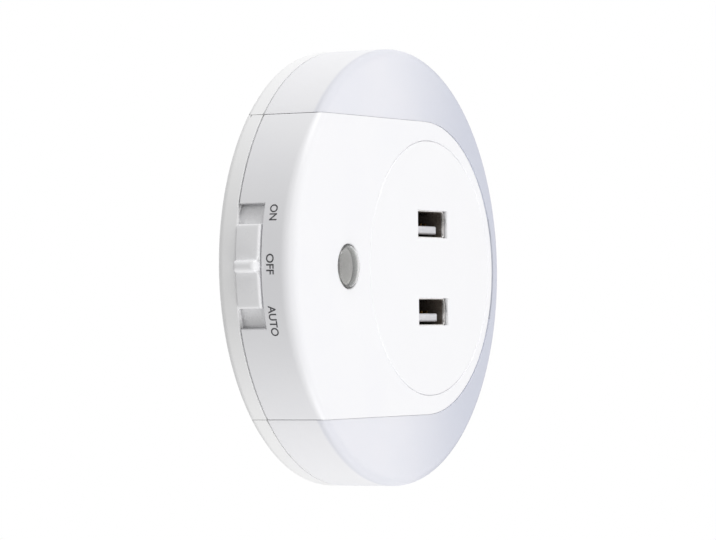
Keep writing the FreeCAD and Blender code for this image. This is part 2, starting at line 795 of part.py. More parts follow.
def make_switch():
    """Make the knob with its flange and fork, and the slide switch that the fork drives."""
    knob = new_body("switch_knob")
    flange = sketch_on(knob, "XZ_Plane", "flange", "flange_bottom")
    sector(flange, "flange_inside", "flange_outside", "flange_angle")
    pad(knob, flange, "flange_top - flange_bottom")
    plate = sketch_on(knob, "XZ_Plane", "plate", "knob_bottom")
    sector(plate, "flange_inside", "knob_outside", "knob_angle")
    pad(knob, plate, "knob_top - knob_bottom")
    for name, length, taper, away in (("foot", "knob_proud", "0", False),
                                      ("ridge", "ridge_proud", "-ridge_slope", True)):
        sketch = sketch_on(knob, "YZ_Plane", name, "-knob_outside")
        rectangle(sketch, "-(knob_bottom + knob_top) / 2", "0", "knob_top - knob_bottom",
                  "ridge_width")
        pad(knob, sketch, length, taper, away)
    fork = sketch_on(knob, "XZ_Plane", "fork", "lever_bottom - lever_gap")
    for side in SIDES.values():
        rectangle(fork, "-(prong_tip + flange_inside + flange_wall / 2) / 2",
                  "%d * (lever_width / 2 + lever_gap + prong_wall / 2)" % side,
                  "flange_inside + flange_wall / 2 - prong_tip", "prong_wall")
    pad(knob, fork, "lever_height + 2 * lever_gap")

    middle = "-(case_face - case_depth / 2)"
    shell = block("switch_case_outside", middle, "0", "board_top", "case_depth",
                  "2 * case_half", "case_height")
    room = block("switch_case_inside", middle, "0", "board_top + case_wall",
                 "case_depth - 2 * case_wall", "2 * (case_half - case_wall)",
                 "case_height - 2 * case_wall")
    slot = block("switch_case_slot", "-case_face", "0", "lever_bottom - lever_gap",
                 "3 * case_wall", "2 * slot_half", "lever_height + 2 * lever_gap")
    keep(cut("switch_case", shell, joined("switch_case_room", [room, slot])), "switch_case")

    carriage = block("switch_carriage", middle, "0", "board_top + case_wall + lever_gap",
                     "case_depth - 2 * (case_wall + lever_gap)", "carriage_width",
                     "case_height - 2 * (case_wall + lever_gap)")
    stem = block("switch_stem", "-(lever_tip + case_face - case_depth / 2) / 2", "0",
                 "lever_bottom", "lever_tip - case_face + case_depth / 2", "lever_width",
                 "lever_height")
    keep(joined("switch_lever", [carriage, stem]), "switch_lever")

    feet = [block("switch_terminal_%d" % index, "-(case_face - case_depth - terminal_reach / 2)",
                  "%s * terminal_pitch" % step, "board_top", "terminal_reach", "terminal_width",
                  "terminal_thickness")
            for index, step in enumerate(steps_about_middle(TERMINAL_COUNT))]
    group("switch_terminals", feet)


def make_power_board():
    """Make the round board, with a tab that carries the switch."""
    body = new_body("power_board")
    shape = sketch_on(body, "XZ_Plane", "shape", "board_height")
    root_x = "-sqrt(board_radius^2 - tab_half^2)"
    outline(shape, [
        (root_x, "-tab_half", "board_radius", 1),
        ("0", "-board_radius", "board_radius", 1),
        ("board_radius", "0", "board_radius", 1),
        ("0", "board_radius", "board_radius", 1),
        (root_x, "tab_half"),
        ("-(case_face + tab_margin)", "tab_half"),
        ("-(case_face + tab_margin)", "-tab_half"),
    ])
    for across, up in POST_SPOTS:
        circle(shape, across, up, "pin_radius + pin_fit")
    for side in (-1, 1):
        rectangle(shape, "%d * blade_spacing / 2" % side, "0",
                  "blade_thickness + 2 * blade_fit", "tail_width + 2 * blade_fit")
    pad(body, shape, "board_thickness")


def make_lamps(side_name, side):
    """Make one lamp board with its row of lamps."""
    middle = "%d * lamp_board_middle" % side
    body = new_body("led_board_" + side_name)
    shape = sketch_on(body, "XZ_Plane", "shape", "board_height")
    rectangle(shape, "0", middle, "lamp_board_length", "lamp_board_width")
    for across in ("-lamp_post_x", "lamp_post_x"):
        circle(shape, across, middle, "pin_radius + pin_fit")
    pad(body, shape, "board_thickness")
    lamps = [block("led_%s_%d" % (side_name, index), "%s * lamp_pitch" % step, middle,
                   "board_top", "lamp_length", "lamp_width", "lamp_thickness")
             for index, step in enumerate(steps_about_middle(LAMP_COUNT))]
    group("leds_" + side_name, lamps)


def make_led_wires():
    """Make the straight jumpers that lie on the power board and on each lamp board."""
    wires = []
    for side_name, side in SIDES.items():
        start = "board_radius - wire_lap"
        length = "lamp_board_inner + wire_end_lap - (%s)" % start
        for index, lane in enumerate((-1, 1)):
            wire = doc.addObject("Part::Cylinder", "led_wire_%s_%d" % (side_name, index))
            bind(wire, Radius="wire_radius", Height=length)
            low = start if side > 0 else "-(%s + %s)" % (start, length)
            place(wire, "%d * wire_pitch / 2" % lane, "board_top + wire_radius", low)
            wires.append(wire)
    group("led_wires", wires)


def make_blade(side_name, side):
    """Make one plug blade: blade, shoulder against the cover and tail through the board."""
    body = new_body("plug_blade_" + side_name)
    stamped = sketch_on(body, "YZ_Plane", "stamped",
                        "%d * blade_spacing / 2 - blade_thickness / 2" % side)
    upper = [
        ("blade_length", "(blade_width / 2 - blade_tip)"),
        ("blade_length - blade_tip", "(blade_width / 2)"),
        ("-back_wall", "(blade_width / 2)"),
        ("-back_wall", "(shoulder_width / 2)"),
        ("-(back_wall + shoulder_depth)", "(shoulder_width / 2)"),
        ("-(back_wall + shoulder_depth)", "(tail_width / 2)"),
        ("-(board_top + tail_proud)", "(tail_width / 2)"),
    ]
    outline(stamped, upper + [(across, "-" + up) for across, up in reversed(upper)])
    circle(stamped, "blade_hole_offset", "0", "blade_hole")
    pad(body, stamped, "blade_thickness")


def make_case_screws():
    """Make the four screws, each with its head in a counterbore of the back cover."""
    screws = []
    for index, (across, up) in enumerate(SCREW_SPOTS):
        head = rod("screw_head_%d" % index, across, up, "head_depth - head_thickness",
                   "head_radius", "head_thickness")
        shank = rod("screw_shank_%d" % index, across, up, "head_depth", "screw_radius",
                    "screw_length")
        driver = block("screw_recess_%d" % index, across, up, "head_depth - head_thickness",
                       "drive_length", "drive_width", "drive_depth")
        cross = block("screw_cross_%d" % index, across, up, "head_depth - head_thickness",
                      "drive_width", "drive_length", "drive_depth")
        screws.append(cut("screw_%d" % index, joined("screw_blank_%d" % index, [head, shank]),
                          joined("screw_drive_%d" % index, [driver, cross])))
    group("case_screws", screws)


def make_transformer():
    """Make the core with its two windows, and the wound coil round its middle leg."""
    middle = "board_top + (room - coil_headroom - core_depth) / 2"
    blank = block("core_blank", "core_x", "core_z", middle, "core_width", "core_length",
                  "core_depth")
    window_width = "core_width / 2 - core_leg / 2 - core_side"
    windows = [block("core_window_%d" % index,
                     "core_x + %d * (core_leg + %s) / 2" % (lane, window_width), "core_z", middle,
                     window_width, "core_length - 2 * core_yoke", "core_depth")
               for index, lane in enumerate((-1, 1))]
    keep(cut("transformer_core", blank, joined("core_windows", windows)), "transformer_core")

    coil = block("coil_blank", "core_x", "core_z", "board_top",
                 "core_width - 2 * (core_side + coil_gap)",
                 "core_length - 2 * (core_yoke + coil_gap)", "room - coil_headroom")
    bore = block("coil_bore", "core_x", "core_z", middle + " - coil_gap",
                 "core_leg + 2 * coil_gap", "core_length", "core_depth + 2 * coil_gap")
    keep(cut("transformer_coil", coil, bore), "transformer_coil")


def make_board_parts():
    """Make the other parts that stand on the power board."""
    group("input_capacitors", [
        rod("input_capacitor_" + name, "input_cap_%s_x" % name, "input_cap_%s_z" % name,
            "board_top", "input_cap_radius", "room - tall_headroom") for name in ("far", "near")])
    group("output_capacitors", [
        rod("output_capacitor_" + name, "output_cap_x", "%d * output_cap_z" % side, "board_top",
            "output_cap_radius", "room - tall_headroom") for name, side in SIDES.items()])

    spool = [rod("choke_low", "choke_x", "0", "board_top", "choke_radius", "choke_flange"),
             rod("choke_waist", "choke_x", "0", "board_top", "choke_waist", "choke_height"),
             rod("choke_high", "choke_x", "0", "board_top + choke_height - choke_flange",
                 "choke_radius", "choke_flange")]
    keep(joined("choke_coil", spool), "choke_coil")

    disc = doc.addObject("Part::Cylinder", "noise_capacitor")
    bind(disc, Radius="disc_cap_radius", Height="disc_cap_thickness")
    disc.Placement.Rotation = FreeCAD.Rotation(FreeCAD.Vector(0, 1, 0), 90)
    place(disc, "disc_cap_x - disc_cap_thickness / 2", "board_top + disc_cap_radius", "disc_cap_z")
    keep(disc, "noise_capacitor")

    fuse = doc.addObject("Part::Cylinder", "fuse")
    bind(fuse, Radius="fuse_radius", Height="fuse_length")
    place(fuse, "fuse_x", "board_top + fuse_radius", "fuse_z - fuse_length / 2")
    keep(fuse, "fuse")

    for name, across, up, width, tall, depth in CHIPS:
        keep(block(name, across, up, "board_top", width, tall, depth), name)
    group("led_resistors", [
        block("led_resistor_%s_%d" % (name, index), "resistor_x + %s * resistor_pitch" % step,
              "%d * (board_radius - resistor_inset)" % side, "board_top", "resistor_width",
              "resistor_tall", "resistor_depth")
        for name, side in SIDES.items() for index, step in enumerate(steps_about_middle(2))])


def check(item):
    """Stop where a feature failed, a pocket cut nothing or a shape is wrong."""
    if "Invalid" in item.State or "Error" in item.State:
        raise RuntimeError("%s failed: %s" % (item.Name, item.State))
    if item.TypeId == "PartDesign::Pocket":
        if item.Shape.Volume >= item.BaseFeature.Shape.Volume:
            raise RuntimeError("%s cut nothing" % item.Name)


make_front_housing()
make_diffuser()
make_back_cover()
make_usb_face_plate()
for side_name, side in SIDES.items():
    make_usb_socket(side_name, side)
    make_lamps(side_name, side)
make_sensor()
make_switch()
make_power_board()
make_led_wires()
for side_name, side in (("left", -1), ("right", 1)):
    make_blade(side_name, side)
make_case_screws()
make_transformer()
make_board_parts()
doc.recompute()

for item in doc.Objects:
    check(item)
for node in nodes:
    shape = node.Shape
    if shape.isNull() or not shape.isValid():
        raise RuntimeError("%s has no valid shape" % node.Label)
    shape.exportStep("parts/%s.step" % node.Label)
    print("%-22s %d solid(s) %9.1f mm3" % (node.Label, len(shape.Solids), shape.Volume))
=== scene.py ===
# %% [markdown]
# # A plug in night light, dressed in Blender
#
# The real object is a round white case, 94 mm across, that sits flat on a wall outlet. An opaque
# panel with two USB sockets fills its middle, a frosted shell shaped like a horseshoe wraps round
# three sides of it and glows at night, and a slide switch stands in the left wall.
#
# The CAD model already holds every piece at its real size. This lesson only gives the pieces
# their finish, so the first step loads that model as a frame that nothing later moves.

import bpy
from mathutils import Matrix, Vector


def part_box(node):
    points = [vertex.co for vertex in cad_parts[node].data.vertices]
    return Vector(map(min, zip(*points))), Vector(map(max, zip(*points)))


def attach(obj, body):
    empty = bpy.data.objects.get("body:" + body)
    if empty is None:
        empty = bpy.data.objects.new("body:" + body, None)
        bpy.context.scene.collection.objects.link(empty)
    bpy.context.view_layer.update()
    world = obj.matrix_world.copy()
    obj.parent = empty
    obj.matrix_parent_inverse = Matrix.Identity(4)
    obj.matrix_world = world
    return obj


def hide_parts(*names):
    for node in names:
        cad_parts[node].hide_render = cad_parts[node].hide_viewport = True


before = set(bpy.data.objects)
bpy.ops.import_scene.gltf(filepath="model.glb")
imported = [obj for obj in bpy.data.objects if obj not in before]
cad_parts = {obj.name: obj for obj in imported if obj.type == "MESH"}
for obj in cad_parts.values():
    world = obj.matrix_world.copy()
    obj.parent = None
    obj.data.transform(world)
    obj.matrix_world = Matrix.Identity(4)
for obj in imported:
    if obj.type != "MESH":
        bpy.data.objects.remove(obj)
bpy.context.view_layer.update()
print("pieces in the frame:", len(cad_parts))

# %% Modules, and the unit that the sizes are written in
import math

import bmesh
import bpy
from mathutils import Matrix, Vector

MM = 0.001
print("one millimetre is %g metres" % MM)

# %% [markdown]
# ## Sizes that come from the frame
#
# A size that is typed twice goes wrong twice. The radius of the case, the height of its face and
# the places of the sockets are therefore read from the boxes of the CAD pieces. The wall face of
# the case lies at Y = 0 and the room is on the minus Y side, so a height above the wall is -Y.

# %% Read the driving sizes, in millimetres
def corners(node):
    """Give the lowest and highest corner of a CAD piece in millimetres."""
    low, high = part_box(node)
    return Vector(low) / MM, Vector(high) / MM


cover_low, cover_high = corners("back_cover")
panel_low, panel_high = corners("front_housing")
plate_low, plate_high = corners("usb_face_plate")
DISC_RADIUS = cover_high.x
DISC_DEPTH = -panel_low.y
SEAM_HEIGHT = -panel_high.y
PANEL_HALF = panel_high.z
PANEL_CENTRE = panel_high.x - PANEL_HALF
PLATE_RADIUS = plate_high.z
PLATE_CENTRE = plate_high.x - PLATE_RADIUS
print("case: radius %.1f mm, depth %.1f mm" % (DISC_RADIUS, DISC_DEPTH))

# %% [markdown]
# ## Camera
#
# The photograph was taken with a long lens from the left of the object, a hand's breadth below
# its middle. The place and the aim were fitted to the round outline, the switch window and the
# sockets, so the camera is written as a place, a direction and a small roll.

# %% Set up the camera
CAMERA_PLACE = Vector((-708.28, -395.97, -13.60)) * MM
CAMERA_FORWARD = Vector((0.87681, 0.48057, 0.01639))
CAMERA_ROLL = math.radians(-0.66)
CAMERA_LENS = 187.5
CAMERA_SENSOR = 36.0

camera_data = bpy.data.cameras.new("camera")
camera_data.sensor_fit = "HORIZONTAL"
camera_data.sensor_width = CAMERA_SENSOR
camera_data.lens = CAMERA_LENS
camera = bpy.data.objects.new("camera", camera_data)
aim = CAMERA_FORWARD.to_track_quat("-Z", "Y").to_matrix().to_4x4()
camera.matrix_world = (Matrix.Translation(CAMERA_PLACE) @ aim
                       @ Matrix.Rotation(CAMERA_ROLL, 4, "Z"))
bpy.context.scene.collection.objects.link(camera)
bpy.context.scene.camera = camera
bpy.context.scene.view_settings.view_transform = "Standard"
print("camera is %.0f mm from the wall face" % (CAMERA_PLACE.length / MM))

# %% [markdown]
# ## Helpers for finishes
#
# Every finish is a small node tree. Colours are picked as sRGB hex values, but a shader
# works with linear light, so one function turns them. One more function adds a node, sets its
# options and fills or links its inputs, which keeps each material down to the lines that matter.

# %% Colour and node helpers
def linear(code):
    """Turn an sRGB hex colour into linear red, green, blue and alpha."""
    parts = [int(code[index:index + 2], 16) / 255 for index in (1, 3, 5)]
    knee, offset, slope, power = 0.04045, 0.055, 12.92, 2.4
    values = [part / slope if part <= knee else ((part + offset) / (1 + offset)) ** power
              for part in parts]
    return tuple(values) + (1.0,)


def add(tree, kind, inputs=None, **options):
    """Add a node with its options, and fill or link its inputs."""
    node = tree.nodes.new(kind)
    for name, value in options.items():
        setattr(node, name, value)
    for key, value in (inputs or {}).items():
        if isinstance(value, bpy.types.NodeSocket):
            tree.links.new(value, node.inputs[key])
        else:
            node.inputs[key].default_value = value
    return node


def connect(tree, shader, **sockets):
    """Link patterns to the shader's inputs."""
    for name, socket in sockets.items():
        tree.links.new(socket, shader.inputs[name.replace("_", " ")])


# %% Start a finish
def start_finish(name, **constants):
    """Start a material and give it, its tree, its surface shader and the object coordinates."""
    material = bpy.data.materials.new(name)
    material.use_nodes = True
    tree = material.node_tree
    tree.nodes.clear()
    shader = add(tree, "ShaderNodeBsdfPrincipled",
                 {key.replace("_", " "): value for key, value in constants.items()})
    add(tree, "ShaderNodeOutputMaterial", {"Surface": shader.outputs[0]})
    place = add(tree, "ShaderNodeTexCoord").outputs["Object"]
    return material, tree, shader, place


# %% Patterns for finishes
NOISE_LOW, NOISE_HIGH = 0.3, 0.7


def noise(tree, place, size_mm, detail=2.0):
    """Give a noise pattern whose bumps are about as wide as a real size."""
    return add(tree, "ShaderNodeTexNoise", {"Vector": place, "Scale": 1 / (size_mm * MM),
                                            "Detail": detail}).outputs["Fac"]


def between(tree, amount, low, high):
    """Spread a pattern's middle range between two values."""
    return add(tree, "ShaderNodeMapRange", {
        "Value": amount, "From Min": NOISE_LOW, "From Max": NOISE_HIGH, "To Min": low,
        "To Max": high}).outputs["Result"]


def patches(tree, place, size_mm):
    """Give patches of a real size that go from 0 to 1."""
    return between(tree, noise(tree, place, size_mm), 0.0, 1.0)


def blended(tree, amount, first, second):
    """Blend two hex colours, or a colour socket and a hex colour, by a pattern."""
    node = add(tree, "ShaderNodeMix", {"Factor": amount}, data_type="RGBA")
    for index, colour in ((6, first), (7, second)):
        if isinstance(colour, str):
            node.inputs[index].default_value = linear(colour)
        else:
            tree.links.new(colour, node.inputs[index])
    return node.outputs[2]


def bump(tree, height, depth_mm):
    """Turn a pattern into a bump of a real depth."""
    return add(tree, "ShaderNodeBump", {"Height": height,
                                        "Distance": depth_mm * MM}).outputs["Normal"]


# %% Two general finishes
PATCH_BUMP = 0.003


def two_tone(name, patch_mm, first, second, rough_mm, smooth, rough, **constants):
    """Make a smooth finish from patches of two near colours and a range of roughness."""
    material, tree, shader, place = start_finish(name, **constants)
    connect(tree, shader, Base_Color=blended(tree, patches(tree, place, patch_mm), first, second),
            Roughness=between(tree, noise(tree, place, rough_mm), smooth, rough))
    return material


def part_finish(name, first, second, patch_mm, smooth, rough, **constants):
    """Make a finish like two_tone, with a shallow bump that follows the patches."""
    material, tree, shader, place = start_finish(name, **constants)
    patch = noise(tree, place, patch_mm)
    connect(tree, shader, Base_Color=blended(tree, between(tree, patch, 0.0, 1.0), first, second),
            Roughness=between(tree, noise(tree, place, patch_mm / 2), smooth, rough),
            Normal=bump(tree, patch, PATCH_BUMP))
    return material


# %% [markdown]
# ## White moulded plastic
#
# Panel, cover, plate and knob are injection moulded ABS. The mould is spark eroded, which leaves
# a very fine satin grain, and thick and thin walls cool to slightly different tones. The grain is
# about 0.1 mm wide in truth, too fine to show at this distance, so it is drawn 0.4 mm wide and
# only a few micrometres deep: the eye reads it as satin, not as dots.

# %% Make the moulded whites
GRAIN = 0.4
GRAIN_DEPTH = 0.0025
TONE_PATCH = 14.0
GLOSS_PATCH = 3.0
ABS_IOR = 1.53


def moulded(name, colour, shade, smooth, rough):
    """Make a moulded plastic from two near colours and its range of roughness."""
    material, tree, shader, place = start_finish(name, IOR=ABS_IOR)
    connect(tree, shader,
            Base_Color=blended(tree, patches(tree, place, TONE_PATCH), colour, shade),
            Roughness=between(tree, noise(tree, place, GLOSS_PATCH), smooth, rough),
            Normal=bump(tree, noise(tree, place, GRAIN), GRAIN_DEPTH))
    return material


housing_abs = moulded("satin_white_abs_panel", "#F8F8FA", "#F6F6F9", 0.36, 0.42)
cover_abs = moulded("satin_white_abs_cover", "#FEFEFE", "#FCFCFD", 0.28, 0.34)
plate_abs = moulded("satin_white_abs_plate", "#F8F8FA", "#F7F7F9", 0.36, 0.42)
knob_abs = moulded("semi_gloss_white_abs_knob", "#FCFCFD", "#FAFAFC", 0.26, 0.32)
print("moulded whites:", housing_abs.name, cover_abs.name, plate_abs.name, knob_abs.name)

# %% [markdown]
# ## Frosted light shell
#
# The shell is a milky polycarbonate: light goes in, wanders and comes out, so it looks a little
# bluer and greyer than the opaque white beside it. Light and shade are painted into its colour
# too:
# painted light on its side wall to the left, painted shade on its front round to the left, painted
# shade that grows towards its right end, and darker painted shade where the narrow strip round
# that end rounds off. All of that is painted from the place on the shell, because a true volume
# would be slower.

# %% Helpers that paint by place
def fade(tree, value, start_mm, stop_mm):
    """Give a smooth rise from 0 to 1 between two places, in millimetres."""
    return add(tree, "ShaderNodeMapRange", {"Value": value, "From Min": start_mm * MM,
                                            "From Max": stop_mm * MM},
               interpolation_type="SMOOTHSTEP").outputs["Result"]


def times(tree, first, second):
    """Multiply two patterns or sizes."""
    return add(tree, "ShaderNodeMath", {0: first, 1: second}, operation="MULTIPLY").outputs[0]


def split(tree, place):
    """Give the across, depth and up sockets of a place, and its distance from the case's axis."""
    parts = add(tree, "ShaderNodeSeparateXYZ", {"Vector": place}).outputs
    flat = add(tree, "ShaderNodeCombineXYZ", {"X": parts["X"], "Y": parts["Z"]}).outputs[0]
    reach = add(tree, "ShaderNodeVectorMath", {0: flat}, operation="LENGTH").outputs["Value"]
    return parts["X"], parts["Y"], parts["Z"], reach


# %% Make the frosted shell's finish
# Each pair says where painted light or shade starts and is full, in mm along X, Y or the radius
FAR_SHADE_SPAN = (-10, 36)
LEFT_PAINTED_SPAN = (12, -12)
STRIP_SHADE_SIDE = (0, 30)
ROUND_SHADE_SPAN = (DISC_RADIUS - 2.4, DISC_RADIUS - 0.3)
STRIP_SHADE_SPAN = (DISC_RADIUS - 1.7, DISC_RADIUS - 0.1)
WALL_RISE = 1.2
WALL_LIGHT_SPAN = (WALL_RISE - DISC_DEPTH, 2 * WALL_RISE - DISC_DEPTH)

frosted, tree, shader, place = start_finish(
    "frosted_polycarbonate_painted_light_and_shade", IOR=1.5, Specular_IOR_Level=0.35, Subsurface_Weight=0.15,
    Subsurface_Radius=(1.0, 1.0, 1.0), Subsurface_Scale=1.5 * MM)
across, depth, up, reach = split(tree, place)
milky = blended(tree, patches(tree, place, TONE_PATCH), "#ECECF2", "#E9EAF1")
# Painted shade: the face turns darker and greyer towards the right end
face = blended(tree, fade(tree, across, *FAR_SHADE_SPAN), milky, "#CED1DD")
painted_light_wall = fade(tree, depth, *WALL_LIGHT_SPAN)
left = fade(tree, across, *LEFT_PAINTED_SPAN)
left_edge = times(tree, fade(tree, reach, *ROUND_SHADE_SPAN), left)
painted_shade_round = add(tree, "ShaderNodeMath", {0: left_edge, 1: painted_light_wall}, operation="SUBTRACT",
               use_clamp=True).outputs[0]
painted_shade_strip = times(tree, fade(tree, reach, *STRIP_SHADE_SPAN), fade(tree, across, *STRIP_SHADE_SIDE))
# Painted light: the side wall on the left is painted lighter
lit = blended(tree, times(tree, painted_light_wall, left), face, "#F8F8FB")
# Painted shade: the front round on the left is painted darker, where it would shine
lit = blended(tree, painted_shade_round, lit, "#E4E5EC")
# Painted shade: the rounded edge of the strip round the right end is painted darker
connect(tree, shader, Base_Color=blended(tree, painted_shade_strip, lit, "#B4B6C3"),
        Roughness=between(tree, noise(tree, place, GLOSS_PATCH), 0.48, 0.56),
        Normal=bump(tree, noise(tree, place, GRAIN), GRAIN_DEPTH))
print("frosted shell:", frosted.name)

# %% [markdown]
# ## Helpers for shapes
#
# A CAD piece comes in as loose triangles with knife sharp edges. No moulded part has such
# edges: the mould's own corner leaves a round of a few tenths of a millimetre, and that round is
# what catches the light. So a copy is welded, its flat triangles are dissolved into whole faces,
# and each sharp edge gets a bevel of its real width. The width may differ from edge to edge,
# because the Bevel modifier scales its width by a weight on each edge.

# %% Where an edge or a corner of the case is
# How far off, in mm, a place may be from a radius or a line, and from a height
NEAR = 0.1
LEVEL = 0.05


def reach_of(place, centre=0.0):
    """Give the distance in mm from the case's axis, or from an axis to the right of it."""
    return math.hypot(place.x - centre, place.z)


def on_case(place):
    """Tell whether a place is on the round outside of the case."""
    return reach_of(place) > DISC_RADIUS - NEAR


def on_face(place):
    """Tell whether a place is on the flat face."""
    return -place.y > DISC_DEPTH - LEVEL


def at_joint(place):
    """Tell whether a place is on a straight joint between the panel and the frosted shell."""
    return abs(abs(place.z) - PANEL_HALF) < NEAR


# %% Weld a skin, and turn it into a piece
WELD = 0.002 * MM
FLAT_ANGLE = math.radians(0.4)
SHARP_ANGLE = math.radians(35)


def welded(node, weld=WELD):
    """Copy a CAD piece's mesh and weld it into one clean skin."""
    skin = bmesh.new()
    skin.from_mesh(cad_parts[node].data)
    bmesh.ops.remove_doubles(skin, verts=skin.verts, dist=weld)
    bmesh.ops.dissolve_limit(skin, angle_limit=FLAT_ANGLE, verts=skin.verts, edges=skin.edges)
    return skin


def new_piece(name, skin, material):
    """Turn a skin into an object with its material."""
    mesh = bpy.data.meshes.new(name)
    skin.to_mesh(mesh)
    skin.free()
    piece = bpy.data.objects.new(name, mesh)
    bpy.context.scene.collection.objects.link(piece)
    mesh.materials.append(material)
    return piece


def settle(piece):
    """Turn a piece with its modifiers into a plain mesh."""
    bpy.context.view_layer.update()
    graph = bpy.context.evaluated_depsgraph_get()
    mesh = bpy.data.meshes.new_from_object(piece.evaluated_get(graph))
    piece.modifiers.clear()
    piece.data = mesh
    return piece


# %% Round a skin's edges, and let a piece ride
def softened(name, skin, material, rule, segments=3):
    """Round the sharp edges of a skin. The rule gives an edge's round in mm from its middle."""
    weights = skin.edges.layers.float.new("bevel_weight_edge")
    rounds = {}
    for edge in skin.edges:
        if edge.is_manifold and edge.calc_face_angle() > SHARP_ANGLE:
            middle = (edge.verts[0].co + edge.verts[1].co) / (2 * MM)
            rounds[edge] = rule(middle)
    widest = max(rounds.values())
    for edge, width in rounds.items():
        edge[weights] = width / widest
    piece = new_piece(name, skin, material)
    piece.data.shade_smooth()
    bevel = piece.modifiers.new("rounds", "BEVEL")
    bevel.limit_method = "WEIGHT"
    bevel.width = widest * MM
    bevel.segments = segments
    bevel.use_clamp_overlap = False
    bevel.loop_slide = False
    even = piece.modifiers.new("even", "WEIGHTED_NORMAL")
    even.keep_sharp = True
    return settle(piece)


def dress(piece, body, slot, *nodes):
    """Let a piece ride on a body and put it in the place of CAD pieces. The slot is not used."""
    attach(piece, body)
    if nodes:
        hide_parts(*nodes)
    print("%-18s %6d faces" % (piece.name, len(piece.data.polygons)))
    return piece


# %% [markdown]
# ## The panel
#
# The opaque moulding carries the sockets, the sensor window and the switch. Its edge against the
# frosted shell is crisp along the two straight sides. Round its right end it rolls off more
# softly, so the bevel grows from 0.06 mm to 0.9 mm along that arc. The round between the face and
# the wall with the switch is fullest at the middle of the wall, so it is scaled about its corner.

# %% Rounds of the front housing
JOINT_ROUND = 0.06
SMALL_ROUND = 0.2
WINDOW_ROUND = 0.25
SOFT_ROUND = 0.9
RING_ROUND = 0.4
RING_NEAR = 0.3


def housing_round(middle):
    """Give the round of an edge of the housing."""
    if at_joint(middle):
        return JOINT_ROUND
    on_arc = middle.x > PANEL_CENTRE and reach_of(middle, PANEL_CENTRE) > PANEL_HALF - NEAR
    if on_face(middle) and on_arc:
        share = (middle.x - PANEL_CENTRE) / PANEL_HALF
        return JOINT_ROUND + (SOFT_ROUND - JOINT_ROUND) * share
    if on_case(middle):
        return WINDOW_ROUND
    if on_face(middle):
        ring = abs(reach_of(middle, PLATE_CENTRE) - PLATE_RADIUS)
        return RING_ROUND if ring < RING_NEAR else SMALL_ROUND
    return 0.0


# %% Dress the front housing
FRONT_ROUND = 1.6
FRONT_FULLER = 1.0

skin = welded("front_housing")
for vert in skin.verts:
    place = vert.co / MM
    reach, below = reach_of(place), DISC_DEPTH + place.y
    if place.x > 0 or reach < DISC_RADIUS - FRONT_ROUND - LEVEL or below > FRONT_ROUND + LEVEL:
        continue
    fuller = 1 + FRONT_FULLER * (1 - min(1.0, abs(place.z) / PANEL_HALF) ** 2)
    inward = (DISC_RADIUS - (DISC_RADIUS - reach) * fuller) / reach
    vert.co = Vector((place.x * inward, below * fuller - DISC_DEPTH, place.z * inward)) * MM
dress(softened("panel_shell", skin, housing_abs, housing_round), "root", "housing_white",
      "front_housing")

# %% Dress the frosted shell
STRIP_SHARP = 12.0
STRIP_FADE = 8.0


def diffuser_round(middle):
    """Give the round of an edge of the frosted shell, none where its strip is narrowest."""
    if on_case(middle):
        return JOINT_ROUND
    if at_joint(middle) and -middle.y > DISC_DEPTH - FRONT_ROUND - NEAR:
        return JOINT_ROUND
    if not on_face(middle):
        return 0.0
    if middle.x < PANEL_CENTRE:
        return JOINT_ROUND
    return JOINT_ROUND * min(1.0, max(0.0, (abs(middle.z) - STRIP_SHARP) / STRIP_FADE))


dress(softened("light_shell", welded("diffuser"), frosted, diffuser_round), "root",
      "frosted_shell", "diffuser")

# %% [markdown]
# ## The back cover
#
# The cover is a round tray. Its joint with the case shows as a thin dark line, so its edge keeps a
# small round. Beside the switch it is lower inside and rounder outside, because a sharp ledge
# would shine there. Where a straight joint reaches it, the rim has a notch, drawn narrower than in
# the CAD.

# %% Rounds of the back cover
SEAM_ROUND = 0.08
REAR_ROUND = 0.15
WINDOW_SIDE = 0.35
WINDOW_HALF = 12.0
WINDOW_TAPER = 1.5
WINDOW_MARGIN = 0.5
NOTCH_REACH = 0.2


def cover_round(middle):
    """Give the round of an edge of the back cover, wider beside the switch."""
    if not on_case(middle):
        return REAR_ROUND if middle.y > -LEVEL else 0.0
    if abs(middle.z) > PANEL_HALF - NOTCH_REACH:
        return SEAM_ROUND / 2
    if middle.x > 0 or -middle.y < SEAM_HEIGHT - WINDOW_MARGIN:
        return SEAM_ROUND
    share = min(1.0, max(0.0, (WINDOW_HALF - abs(middle.z)) / WINDOW_TAPER))
    return SEAM_ROUND + (WINDOW_SIDE - SEAM_ROUND) * share


# %% Dress the back cover
NOTCH_MIDDLE = PANEL_HALF + 0.025
NOTCH_NARROWER = 0.25
EDGE_RISE = 0.1
LIP_INSET = 0.7
LIP_RISE = 0.35
LIP_TOP = 0.05
LEDGE_INSET = 2.2
LEDGE_FALL = 0.9

skin = welded("back_cover")
for vert in skin.verts:
    place = vert.co / MM
    reach = reach_of(place)
    aside = abs(place.z) - NOTCH_MIDDLE
    if place.x < 0 and abs(aside) < NOTCH_REACH:
        up = math.copysign(NOTCH_MIDDLE + NOTCH_NARROWER * aside, place.z)
        vert.co.x, vert.co.z = -math.sqrt(reach ** 2 - up ** 2) * MM, up * MM
    by_seam = abs(-place.y - SEAM_HEIGHT) <= WINDOW_MARGIN
    if place.x > 0 or abs(place.z) > WINDOW_HALF + WINDOW_MARGIN or not by_seam:
        continue
    if reach > DISC_RADIUS - NEAR:
        vert.co.y = -(SEAM_HEIGHT + EDGE_RISE) * MM
    elif reach > DISC_RADIUS - LIP_INSET:
        vert.co.y = -min(-place.y + LIP_RISE, SEAM_HEIGHT + LIP_TOP) * MM
    elif reach > DISC_RADIUS - LEDGE_INSET:
        vert.co.y = -(SEAM_HEIGHT - LEDGE_FALL) * MM
dress(softened("rear_shell", skin, cover_abs, cover_round), "root", "cover_white", "back_cover")

